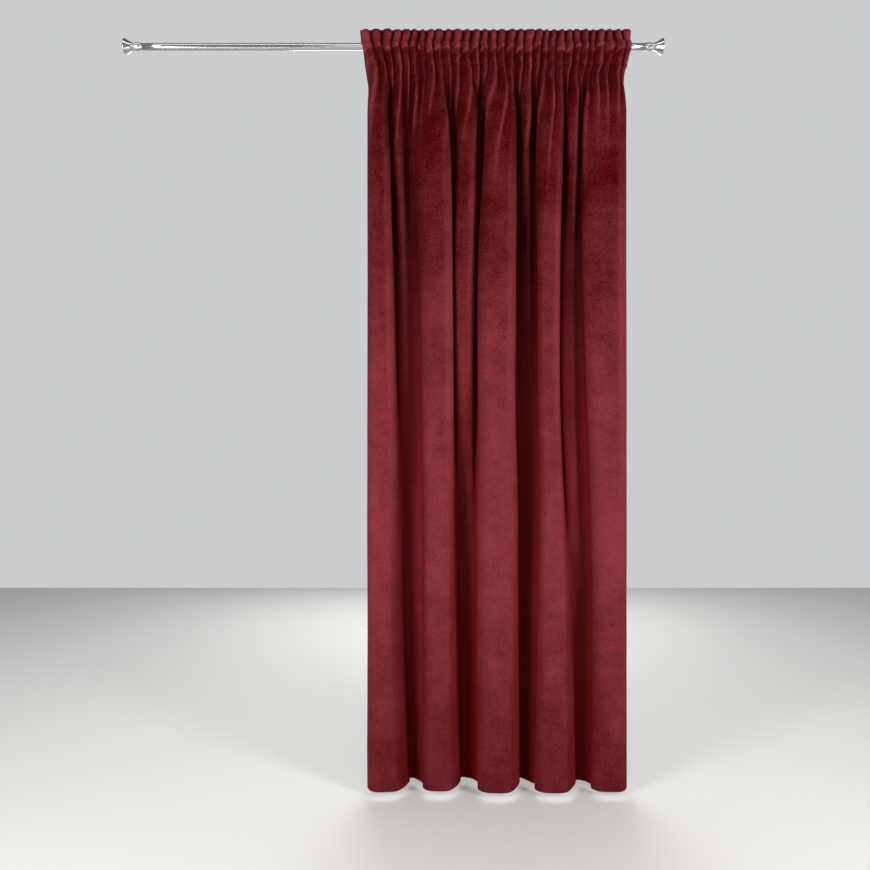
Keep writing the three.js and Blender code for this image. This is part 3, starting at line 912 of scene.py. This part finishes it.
def turn_hems(drape, sizes, materials):
    """The hems turned to the back at the bottom and at both sides, and the heading's edge."""
    mesh = ClothMesh(drape)
    side = sizes.side_hem / sizes.cut_width
    inset = side + 0.001
    inner = np.concatenate([[inset], between_hems(side, 0.001), [1 - inset]])
    hem_top, hem_end = drape.hem_drop - sizes.bottom_hem / MM, drape.hem_drop - 1.5
    flap = (drape.lower_stitch + FLAP[0], drape.lower_stitch + FLAP[1])
    turned_band(mesh, drape.shares_at(flap[0], 10)[4:-4], flap, 1)
    turned_band(mesh, inner, np.linspace(hem_top, hem_end, 4))
    drops = [drop for drop in drape.drops()[2] if flap[1] + 2 < drop < hem_top - 4]
    drops += [hem_top - 1] + list(np.linspace(hem_top + 25, hem_end, 3))
    for start, stop in ((SEAM_INSET, side), (1 - side, 1 - SEAM_INSET)):
        turned_band(mesh, np.linspace(start, stop, 7), drops)
    return mesh.piece("turned_hems", materials)


def lathe(profile, sides, closed):
    """Points and faces of a shape turned about the X axis from (radius, along) points."""
    angles = np.arange(sides) * 2 * math.pi / sides
    points, rings = [], []
    for radius, along in profile:
        first = len(points)
        if radius < 1e-7:
            points.append((along, 0.0, 0.0))
            rings.append([first] * sides)
            continue
        points += [(along, radius * math.cos(a), radius * math.sin(a)) for a in angles]
        rings.append(list(range(first, first + sides)))
    faces = []
    pairs = list(zip(rings[:-1], rings[1:])) + ([(rings[-1], rings[0])] if closed else [])
    for near, far in pairs:
        for k in range(sides):
            face = [near[k], near[(k + 1) % sides], far[(k + 1) % sides], far[k]]
            faces.append(tuple(dict.fromkeys(face)))
    return np.array(points), faces


def face_outwards(piece, sharp_degrees):
    """Turns a closed surface's faces outwards and keeps its crisp edges."""
    work = bmesh.new()
    work.from_mesh(piece.data)
    bmesh.ops.recalc_face_normals(work, faces=work.faces)
    work.to_mesh(piece.data)
    work.free()
    piece.data.set_sharp_from_angle(angle=math.radians(sharp_degrees))


def rounded(profile, radius, steps=4):
    """Rounds the inner corners of a profile by cutting them back and curving them over."""
    profile = [np.array(p, float) for p in profile]
    made = [profile[0]]
    for before, corner, after in zip(profile[:-2], profile[1:-1], profile[2:]):
        into, out = before - corner, after - corner
        reach = min(radius, 0.45 * np.linalg.norm(into), 0.45 * np.linalg.norm(out))
        start = corner + into / np.linalg.norm(into) * reach
        stop = corner + out / np.linalg.norm(out) * reach
        for t in np.linspace(0, 1, steps):
            made.append(start * (1 - t) ** 2 + corner * 2 * t * (1 - t) + stop * t * t)
    return made + [profile[-1]]


def bezier(ends, steps):
    """Points along a cubic curve, without its last."""
    a, b, c, d = (np.array(p, float) for p in ends)
    found = []
    for t in np.linspace(0, 1, steps, endpoint=False):
        s = 1 - t
        found.append(a * s**3 + 3 * b * s * s * t + 3 * c * s * t * t + d * t**3)
    return found


def finial_profile(bore):
    """Half section of a finial, in millimetres, from the end of its spigot to its face."""
    spigot, fit = 30, 0.3
    collar, collar_end, groove, groove_at, groove_end = 14, 23, 1.2, 5, 6.5
    neck, neck_end, mouth, length = 11.5, 26, 28.5, 64
    inner = bore / MM - fit
    body = [
        (0, -spigot),
        (inner, -spigot),
        (inner, fit),
        (collar, fit),
        (collar, groove_at),
        (collar - groove, groove_at),
        (collar - groove, groove_end),
        (collar, groove_end),
        (collar, collar_end),
        (neck, collar_end),
        (neck, neck_end),
    ]
    lip, edge = (mouth - 0.8, length - 6), (mouth - 2, length - 1.6)
    flare = bezier(((neck, neck_end), (neck + 3, 40), (mouth - 9, length - 21), lip), 26)
    rim = bezier((lip, (mouth + 0.2, length - 4.6), (mouth - 0.2, length - 2.2), edge), 8)
    face = bezier((edge, (mouth * 0.66, length - 0.6), (mouth * 0.33, length), (0, length)), 12)
    return rounded(body, 0.5) + flare[1:] + rim + face + [np.array((0, length), float)]


# ---- Finishes -----------------------------------------------------------------------------


class Wire:
    """A socket that Python's operators work on, by way of Math nodes."""

    def __init__(self, nodes, socket):
        self.nodes, self.socket = nodes, socket

    def maths(self, operation, first, second):
        return self.nodes.node("ShaderNodeMath", {"operation": operation}, {0: first, 1: second})

    def __add__(self, other):
        return self.maths("ADD", self, other)

    def __radd__(self, other):
        return self.maths("ADD", other, self)

    def __sub__(self, other):
        return self.maths("SUBTRACT", self, other)

    def __rsub__(self, other):
        return self.maths("SUBTRACT", other, self)

    def __mul__(self, other):
        return self.maths("MULTIPLY", self, other)

    def __rmul__(self, other):
        return self.maths("MULTIPLY", other, self)


class Nodes:
    """A node tree under construction."""

    def __init__(self, tree):
        self.tree = tree
        tree.nodes.clear()

    def node(self, kind, settings=None, inputs=None, output=0):
        """Adds a node, sets it up, and returns one of its outputs, or the node where it has none."""
        made = self.tree.nodes.new(kind)
        for name, value in (settings or {}).items():
            if name == "stops":
                self.set_stops(made.color_ramp, value)
            else:
                setattr(made, name, value)
        for key, value in (inputs or {}).items():
            socket = self.socket(made.inputs, key)
            if isinstance(value, Wire):
                self.tree.links.new(value.socket, socket)
            else:
                socket.default_value = value
        return Wire(self, self.socket(made.outputs, output)) if made.outputs else made

    @staticmethod
    def socket(sockets, key):
        if isinstance(key, int):
            return sockets[key]
        found = [s for s in sockets if s.identifier == key] or [s for s in sockets if s.name == key]
        return found[0]

    @staticmethod
    def set_stops(ramp, stops):
        while len(ramp.elements) < len(stops):
            ramp.elements.new(1.0)
        for element, (position, level) in zip(ramp.elements, stops):
            element.position = position
            element.color = (level, level, level, 1)


class Finish(Nodes):
    """A material under construction."""

    def __init__(self, name):
        self.material = bpy.data.materials.new(name)
        self.material.use_nodes = True
        super().__init__(self.material.node_tree)

    def flat(self):
        """Places on the cloth laid out flat."""
        return self.node("ShaderNodeUVMap", {"uv_map": CLOTH_UV}, {}, "UV")

    def place(self):
        return self.node("ShaderNodeTexCoord", {}, {}, "Object")

    def part(self, vector, axis):
        return self.node("ShaderNodeSeparateXYZ", {}, {"Vector": vector}, axis)

    def attribute(self, name):
        settings = {"attribute_type": "GEOMETRY", "attribute_name": name}
        return self.node("ShaderNodeAttribute", settings, {}, "Fac")

    def ramp(self, value, *stops):
        return self.node("ShaderNodeValToRGB", {"stops": stops}, {"Fac": value}, "Color")

    def noise(self, vector, scale, detail=2.0, roughness=0.5, stretch=None):
        """Cloudy noise from 0 to 1, drawn out where stretch is under 1."""
        if stretch:
            settings = {"operation": "MULTIPLY"}
            vector = self.node("ShaderNodeVectorMath", settings, {0: vector, 1: stretch})
        values = {"Vector": vector, "Scale": scale, "Detail": detail, "Roughness": roughness}
        return self.node("ShaderNodeTexNoise", {}, values, "Fac")

    def mixed(self, share, first, second):
        values = {"Factor_Float": share, "A_Color": first, "B_Color": second}
        return self.node("ShaderNodeMix", {"data_type": "RGBA"}, values, "Result_Color")

    def limited(self, value):
        return self.node("ShaderNodeClamp", {}, {"Value": value, "Min": 0.0, "Max": 1.0})

    def bumped(self, height, strength, distance):
        values = {"Height": height, "Strength": strength, "Distance": distance}
        return self.node("ShaderNodeBump", {}, values, "Normal")

    def surface(self, **values):
        """Ends the material in a Principled BSDF with these sockets."""
        inputs = {name.replace("_", " ").title().replace("Ior", "IOR"): v for name, v in values.items()}
        shader = self.node("ShaderNodeBsdfPrincipled", {}, inputs, "BSDF")
        self.node("ShaderNodeOutputMaterial", {}, {"Surface": shader})
        return self.material


def shade(colour, share=1.0):
    """A colour, or a darker or paler shade of it, for a socket."""
    return (*(min(1.0, share * c) for c in colour), 1.0)


def studio_world():
    """Soft light all round, paler behind the curtain than behind the camera."""
    world = bpy.data.worlds.new("studio")
    world.use_nodes = True
    nodes = Nodes(world.node_tree)
    place = nodes.node("ShaderNodeTexCoord", {}, {}, "Generated")
    strengths = []
    for axis, start, stop, first, last in (("Y", -0.6, 0.6, 0.34, 0.62), ("Z", 0.5, 0.85, 1.0, 0.45)):
        values = {"Value": nodes.node("ShaderNodeSeparateXYZ", {}, {"Vector": place}, axis)}
        values |= {"From Min": start, "From Max": stop, "To Min": first, "To Max": last}
        strengths.append(nodes.node("ShaderNodeMapRange", {}, values, "Result"))
    values = {"Color": (0.96, 0.98, 1.0, 1), "Strength": strengths[0] * strengths[1]}
    light = nodes.node("ShaderNodeBackground", {}, values)
    nodes.node("ShaderNodeOutputWorld", {}, {"Surface": light})
    return world


def velvet(finishes):
    """Deep pile velvet, with painted shade in its folds and slits and painted highlights on its rims,
    puffs and sides.
    """
    finish = Finish("velvet_pile")
    flat = finish.flat()
    down = finish.part(flat, "Y") * (1 / PATTERN_DROP)
    # open carries painted shade and rim carries painted sheen highlights.
    opened, rim = (finish.attribute(name) for name in (OPEN, RIM))
    patches = finish.noise(flat, 7.0, 4.0, 0.62, (1.0, 0.7, 1.0))
    smears = finish.noise(flat, 24.0, 3.0, 0.6, (0.9, 1.0, 1.0))
    strokes = finish.noise(flat, 170.0, 3.0, 0.65, (0.6, 1.0, 1.0))
    tufts = finish.noise(flat, 900.0, 2.0, 0.6)
    # Painted light by drop: lighter over the frill and sleeve, dark below them, lightest low on the
    # faces and darker again at the hem.
    heading = ((0.0, 0.44), (0.016, 0.14), (0.026, 0.0), (0.06, 0.0))
    lit = finish.ramp(down, *heading, (0.2, 0.2), (0.4, 0.54), (0.66, 0.82), (1.0, 0.3))
    # Painted shade in the folds: darkest in the heading's slits, lighter lower down.
    heading = ((0.0, 0.26), (0.026, 0.03))
    painted_shade = finish.ramp(down, *heading, (0.25, 0.1), (0.4, 0.5), (0.55, 1.0), (1.0, 0.95))
    painted_shade = finish.mixed(painted_shade, shade(finishes.deep, 0.18), shade(finishes.deep))
    rough = finish.ramp(down, (0.0, 0.7), (0.06, 0.9), (0.45, 1.0), (0.7, 1.0), (1.0, 0.8))
    mottling = (patches - 0.5) * 1.1 + (smears - 0.5) * 0.5 + (strokes - 0.5) * 1.2
    # Painted light and rim highlights, with the pile's random mottling, mix the pile towards the
    # highlight colour.
    share = finish.limited(lit + mottling * rough + rim * 0.9)
    shown = finish.mixed(share, shade(finishes.pile), shade(finishes.painted_highlight))
    # Where the cloth sees little of the room, the painted shade colour takes the place of the pile's;
    # rims hold it back.
    deep = finish.limited(opened * 1.3 - 0.25 + rim * 0.35)
    return finish.surface(
        base_color=finish.mixed(deep, painted_shade, shown),
        roughness=0.72 + strokes * 0.2,
        normal=finish.bumped(tufts * 0.7 + strokes * 0.5, 0.4, 0.0012),
        specular_ior_level=0.02,
        sheen_weight=0.1,
        sheen_roughness=0.3,
        sheen_tint=(1.0, 0.12, 0.15, 1.0),
    )


def velvet_reverse(finishes):
    """The plain woven back of the velvet."""
    finish = Finish("velvet_reverse")
    flat = finish.flat()
    turns = 2 * math.pi / 0.0011
    waves = [finish.part(flat, axis) * turns for axis in ("X", "Y")]
    across, along = (finish.node("ShaderNodeMath", {"operation": "SINE"}, {0: w}) for w in waves)
    weave = across * along
    slubs = finish.noise(flat, 420.0, 2.0, 0.5, (0.06, 1.0, 1.0))
    patches = finish.noise(flat, 5.0, 3.0, 0.5)
    share = finish.limited(0.5 + weave * 0.2 + (slubs - 0.5) * 0.8 + (patches - 0.5) * 0.7)
    return finish.surface(
        base_color=finish.mixed(share, shade(finishes.reverse, 0.62), shade(finishes.reverse)),
        roughness=0.86 + slubs * 0.1,
        normal=finish.bumped(weave * 0.5 + slubs * 0.6, 0.35, 0.0005),
        specular_ior_level=0.2,
        sheen_weight=0.06,
        sheen_roughness=0.5,
        sheen_tint=(1.0, 0.6, 0.6, 1.0),
    )


def thread_finish(finishes):
    """Twisted sewing thread."""
    finish = Finish("sewing_thread")
    twist = finish.noise(finish.place(), 1800.0, 2.0, 0.5)
    return finish.surface(
        base_color=finish.mixed(twist, shade(finishes.thread), shade(finishes.thread, 1.9)),
        roughness=0.6 + twist * 0.2,
        normal=finish.bumped(twist, 0.4, 0.0003),
        specular_ior_level=0.1,
    )


def bright_metal(finishes):
    """Polished plating with the faint clouds of handling."""
    finish = Finish("bright_metal_plating")
    clouds = finish.noise(finish.place(), 38.0, 3.0, 0.55)
    share = finish.limited((clouds - 0.35) * 1.6)
    return finish.surface(
        base_color=finish.mixed(share, shade(finishes.metal, 0.86), shade(finishes.metal)),
        metallic=1.0,
        roughness=0.11 + clouds * 0.05,
    )


def pale_floor(finishes):
    """A plain painted floor."""
    finish = Finish("pale_floor")
    clouds = finish.noise(finish.place(), 2.2, 3.0, 0.5)
    return finish.surface(
        base_color=finish.mixed(clouds, shade(finishes.floor, 0.97), shade(finishes.floor)),
        roughness=0.62 + clouds * 0.1,
        specular_ior_level=0.3,
    )


# ---- Stitches -----------------------------------------------------------------------------


def stitch_tree(material):
    """Geometry nodes that sew a running row of stitches along each seam line."""
    tree = bpy.data.node_groups.new("stitch_rows", "GeometryNodeTree")
    nodes = Nodes(tree)
    for name, kind, default in (
        ("Seam lines", "NodeSocketGeometry", None),
        ("Pitch", "NodeSocketFloat", 0.0042),
        ("Stitch length", "NodeSocketFloat", 0.0034),
        ("Thread", "NodeSocketFloat", 0.0009),
        ("Seed", "NodeSocketInt", 5),
    ):
        socket = tree.interface.new_socket(name, in_out="INPUT", socket_type=kind)
        if default is not None:
            socket.default_value = default
    tree.interface.new_socket("Stitches", in_out="OUTPUT", socket_type="NodeSocketGeometry")
    sockets = tree.nodes.new("NodeGroupInput").outputs
    given = {socket.name: Wire(nodes, socket) for socket in sockets}
    curve = nodes.node("GeometryNodeMeshToCurve", {}, {"Mesh": given["Seam lines"]})
    values = {"Curve": curve, "Length": given["Pitch"]}
    spaced = nodes.node("GeometryNodeResampleCurve", {"mode": "LENGTH"}, values)
    values = {"Vector": nodes.node("GeometryNodeInputTangent")}
    turned = nodes.node("FunctionNodeAlignRotationToVector", {"axis": "X"}, values)
    values = {"Min_001": 0.86, "Max_001": 1.12, "Seed": given["Seed"]}
    uneven = nodes.node("FunctionNodeRandomValue", {"data_type": "FLOAT"}, values, "Value_001")
    values = {"X": given["Stitch length"] * uneven, "Y": given["Thread"], "Z": given["Thread"]}
    size = nodes.node("ShaderNodeCombineXYZ", {}, values)
    bead = nodes.node("GeometryNodeMeshUVSphere", {}, {"Segments": 6, "Rings": 4, "Radius": 0.5})
    values = {"Points": spaced, "Instance": bead, "Rotation": turned, "Scale": size}
    sewn = nodes.node("GeometryNodeInstanceOnPoints", {}, values)
    real = nodes.node("GeometryNodeRealizeInstances", {}, {"Geometry": sewn})
    dyed = nodes.node("GeometryNodeSetMaterial", {}, {"Geometry": real, "Material": material})
    nodes.node("NodeGroupOutput", {}, {"Stitches": dyed})
    return tree


def grown(name, points, edges, tree, values):
    """Runs a geometry nodes tree on some edges and keeps what it makes as a plain mesh."""
    seed = bpy.data.meshes.new(name + "_lines")
    seed.from_pydata(points, edges, [])
    source = in_scene(name + "_lines", seed)
    modifier = source.modifiers.new("rows", "NODES")
    modifier.node_group = tree
    for item in tree.interface.items_tree:
        if item.in_out == "INPUT" and item.name in values:
            modifier[item.identifier] = values[item.name]
    graph = bpy.context.evaluated_depsgraph_get()
    mesh = bpy.data.meshes.new_from_object(source.evaluated_get(graph))
    source.modifiers.clear()
    bpy.data.objects.remove(source)
    mesh.name = name
    mesh.shade_smooth()
    return in_scene(name, mesh)


def seam_lines(drape, sizes):
    """Where the machine has sewn, as lines on the faces of the cloth."""
    lines = []
    proud = PROUD_SHARE * sizes.thread / MM
    for drop in (drape.frill_stitch, drape.lower_stitch):
        line, normals = drape.line(drop, drape.shares_at(drop, 14))
        for side in (1, -1):
            lines.append(drape.place(line + normals * side * (drape.thickness + proud), drop))
    back = drape.thickness / 2 + HEM_GAP + HEM_THICKNESS + proud
    hem_row = drape.hem_drop - sizes.bottom_hem / MM + 4
    side = sizes.side_hem / sizes.cut_width
    line, normals = drape.line(hem_row, between_hems(side, 0.002))
    lines.append(drape.place(line - normals * back, hem_row))
    down = np.arange(drape.lower_stitch + 30, drape.hem_drop - 2, 9.0)
    for share in (side * 0.82, 1 - side * 0.82):
        around = np.array([share - 0.002, share, share + 0.002])
        points = []
        for drop in down:
            line, normals = drape.line(drop, around)
            points.append(drape.place(line - normals * back, drop)[1])
        lines.append(np.array(points))
    return lines


# ---- Operators ----------------------------------------------------------------------------


def declared(piece, slot, *nodes):
    """Attaches a piece to the root body, and hides the CAD nodes that it stands in for."""
    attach(piece, "root")
    if nodes:
        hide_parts(*nodes)


class CURTAIN_OT_set_camera(Operator):
    """Set the camera level with the middle of the curtain"""

    bl_idname = "curtain.set_camera"
    bl_label = "Set camera"

    def execute(self, context):
        sizes = context.scene.curtain_stage
        data = bpy.data.cameras.new("camera")
        data.sensor_width = 36
        data.lens = data.sensor_width * sizes.distance / sizes.field
        camera = in_scene("camera", data)
        camera.location = (sizes.eye_across, -sizes.distance, -sizes.eye_drop)
        camera.rotation_euler = (math.radians(90), 0, 0)
        context.scene.camera = camera
        return {"FINISHED"}


class CURTAIN_OT_turn_hems(Operator):
    """Turn the hems to the back of the cloth"""

    bl_idname = "curtain.turn_hems"
    bl_label = "Turn hems"

    def execute(self, context):
        sizes = context.scene.curtain_cloth
        drape = Drape(sizes, context.scene.curtain_rod)
        piece = turn_hems(drape, sizes, [velvet(context.scene.curtain_finishes)])
        declared(piece, "velvet")
        return {"FINISHED"}


class CURTAIN_OT_sew_stitches(Operator):
    """Sew the rows of stitches of the heading and the hems"""

    bl_idname = "curtain.sew_stitches"
    bl_label = "Sew stitches"

    def execute(self, context):
        sizes = context.scene.curtain_cloth
        drape = Drape(sizes, context.scene.curtain_rod)
        points, edges = [], []
        for line in seam_lines(drape, sizes):
            first = len(points)
            points += line.tolist()
            edges += [(k, k + 1) for k in range(first, len(points) - 1)]
        tree = stitch_tree(thread_finish(context.scene.curtain_finishes))
        values = {"Pitch": sizes.stitch_pitch, "Thread": sizes.thread}
        values["Stitch length"] = 0.8 * sizes.stitch_pitch
        piece = grown("seam_stitches", points, edges, tree, values)
        if len(piece.data.polygons) == 0:
            raise RuntimeError("the seams have no stitches")
        declared(piece, "velvet")
        return {"FINISHED"}


class CURTAIN_OT_draw_rod(Operator):
    """Draw the tube of the curtain rod"""

    bl_idname = "curtain.draw_rod"
    bl_label = "Draw rod"

    def execute(self, context):
        sizes = context.scene.curtain_rod
        end, rim = sizes.length / 2, 0.0003
        stations = np.linspace(-end + rim, end - rim, 25)
        profile = [(sizes.radius, x) for x in stations]
        profile += [(sizes.radius - rim, end), (sizes.bore + rim, end)]
        profile += [(sizes.bore, end - rim), (sizes.bore, -end + rim)]
        profile += [(sizes.bore + rim, -end), (sizes.radius - rim, -end)]
        points, faces = lathe(profile, sizes.sides, closed=True)
        finish = bright_metal(context.scene.curtain_finishes)
        piece = piece_from("rod_tube", points, faces, [finish])
        face_outwards(piece, 50)
        declared(piece, "bright_metal", "rod")
        return {"FINISHED"}


class CURTAIN_OT_turn_finials(Operator):
    """Turn the trumpet finials at the ends of the rod"""

    bl_idname = "curtain.turn_finials"
    bl_label = "Turn finials"

    def execute(self, context):
        sizes = context.scene.curtain_rod
        finish = bright_metal(context.scene.curtain_finishes)
        profile = [(r * MM, x * MM) for r, x in finial_profile(sizes.bore)]
        points, faces = lathe(profile, sizes.sides, closed=False)
        for name, side in (("right", 1), ("left", -1)):
            placed = points * (side, side, 1) + (side * sizes.length / 2, 0, 0)
            piece = piece_from(f"finial_{name}_turned", placed, faces, [finish])
            face_outwards(piece, 40)
            declared(piece, "bright_metal", f"finial_{name}")
        return {"FINISHED"}


class CURTAIN_OT_hang_cloth(Operator):
    """Hang the velvet on the rod in its gathers and folds"""

    bl_idname = "curtain.hang_cloth"
    bl_label = "Hang cloth"

    def execute(self, context):
        sizes = context.scene.curtain_cloth
        finishes = context.scene.curtain_finishes
        drape = Drape(sizes, context.scene.curtain_rod)
        materials = [bpy.data.materials["velvet_pile"], velvet_reverse(finishes)]
        piece = hang_cloth(drape, sizes.mesh_columns, materials)
        declared(piece, "velvet", "curtain")
        return {"FINISHED"}


class CURTAIN_OT_set_stage(Operator):
    """Lay the floor and set the lights"""

    bl_idname = "curtain.set_stage"
    bl_label = "Set stage"

    def execute(self, context):
        sizes = context.scene.curtain_stage
        cloth = context.scene.curtain_cloth
        level = -cloth.hem_drop - sizes.floor_gap
        reach, behind = 5.0, 3.6
        corners = [(-reach, -reach, level), (reach, -reach, level)]
        corners += [(reach, behind, level), (-reach, behind, level)]
        finish = pale_floor(context.scene.curtain_finishes)
        floor = piece_from("floor", corners, [(0, 1, 2, 3)], [finish])
        middle = Vector((0.37, 0.0, -1.5))
        aims = {"top_light": Vector((0.3, 0.0, 0.0)), "floor_light": Vector((0.3, 3.6, -3.0))}
        power = sizes.key_light
        for name, place, width, height, watts in (
            ("left_light", (-2.2, -2.4, -1.35), 0.9, 2.6, power),
            ("right_light", (2.9, -2.3, -1.35), 0.9, 2.6, power),
            ("front_light", (0.4, -4.2, -0.6), 2.4, 1.6, 0.25 * power),
            ("top_light", (0.1, -1.2, 1.3), 4.0, 0.4, 0.15 * power),
            ("back_light", (0.3, 3.2, -0.6), 2.4, 1.6, 0.6 * power),
            ("floor_light", (0.3, 3.4, 1.6), 8.0, 4.0, 0.4 * power),
        ):
            data = bpy.data.lights.new(name, "AREA")
            data.shape = "RECTANGLE"
            data.size, data.size_y = width, height
            data.energy = watts
            light = in_scene(name, data)
            light.location = place
            aim = aims.get(name, middle)
            light.rotation_euler = (aim - Vector(place)).to_track_quat("-Z", "Y").to_euler()
            light.visible_camera = False
        context.scene.world = studio_world()
        context.scene.view_settings.view_transform = "Standard"
        return {"FINISHED"}


class CURTAIN_PT_sizes(Panel):
    """Sizes, colours and steps of the velvet curtain"""

    bl_idname = "CURTAIN_PT_sizes"
    bl_label = "Velvet curtain"
    bl_space_type = "VIEW_3D"
    bl_region_type = "UI"
    bl_category = "Curtain"

    def draw(self, context):
        for group in GROUPS:
            box = self.layout.box()
            values = getattr(context.scene, group)
            for name in values.__annotations__:
                box.prop(values, name)
        for step in STEPS:
            self.layout.operator(step.bl_idname)


GROUPS = {
    "curtain_cloth": CurtainClothSizes,
    "curtain_rod": CurtainRodSizes,
    "curtain_finishes": CurtainFinishes,
    "curtain_stage": CurtainStageSizes,
}
STEPS = (
    CURTAIN_OT_set_camera,
    CURTAIN_OT_turn_hems,
    CURTAIN_OT_sew_stitches,
    CURTAIN_OT_draw_rod,
    CURTAIN_OT_turn_finials,
    CURTAIN_OT_hang_cloth,
    CURTAIN_OT_set_stage,
)


def register():
    for group in (*GROUPS.values(), *STEPS, CURTAIN_PT_sizes):
        bpy.utils.register_class(group)
    for name, group in GROUPS.items():
        setattr(bpy.types.Scene, name, PointerProperty(type=group))


def unregister():
    for name in GROUPS:
        delattr(bpy.types.Scene, name)
    for group in (CURTAIN_PT_sizes, *reversed(STEPS), *reversed(list(GROUPS.values()))):
        bpy.utils.unregister_class(group)


def plain(box):
    return [[round(float(value), 5) for value in corner] for corner in box]


def main():
    register()
    bpy.ops.curtain.set_camera()
    bpy.ops.curtain.turn_hems()
    bpy.ops.curtain.sew_stitches()
    bpy.ops.curtain.draw_rod()
    bpy.ops.curtain.turn_finials()
    bpy.ops.curtain.hang_cloth()
    bpy.ops.curtain.set_stage()


if __name__ == "__main__":
    main()
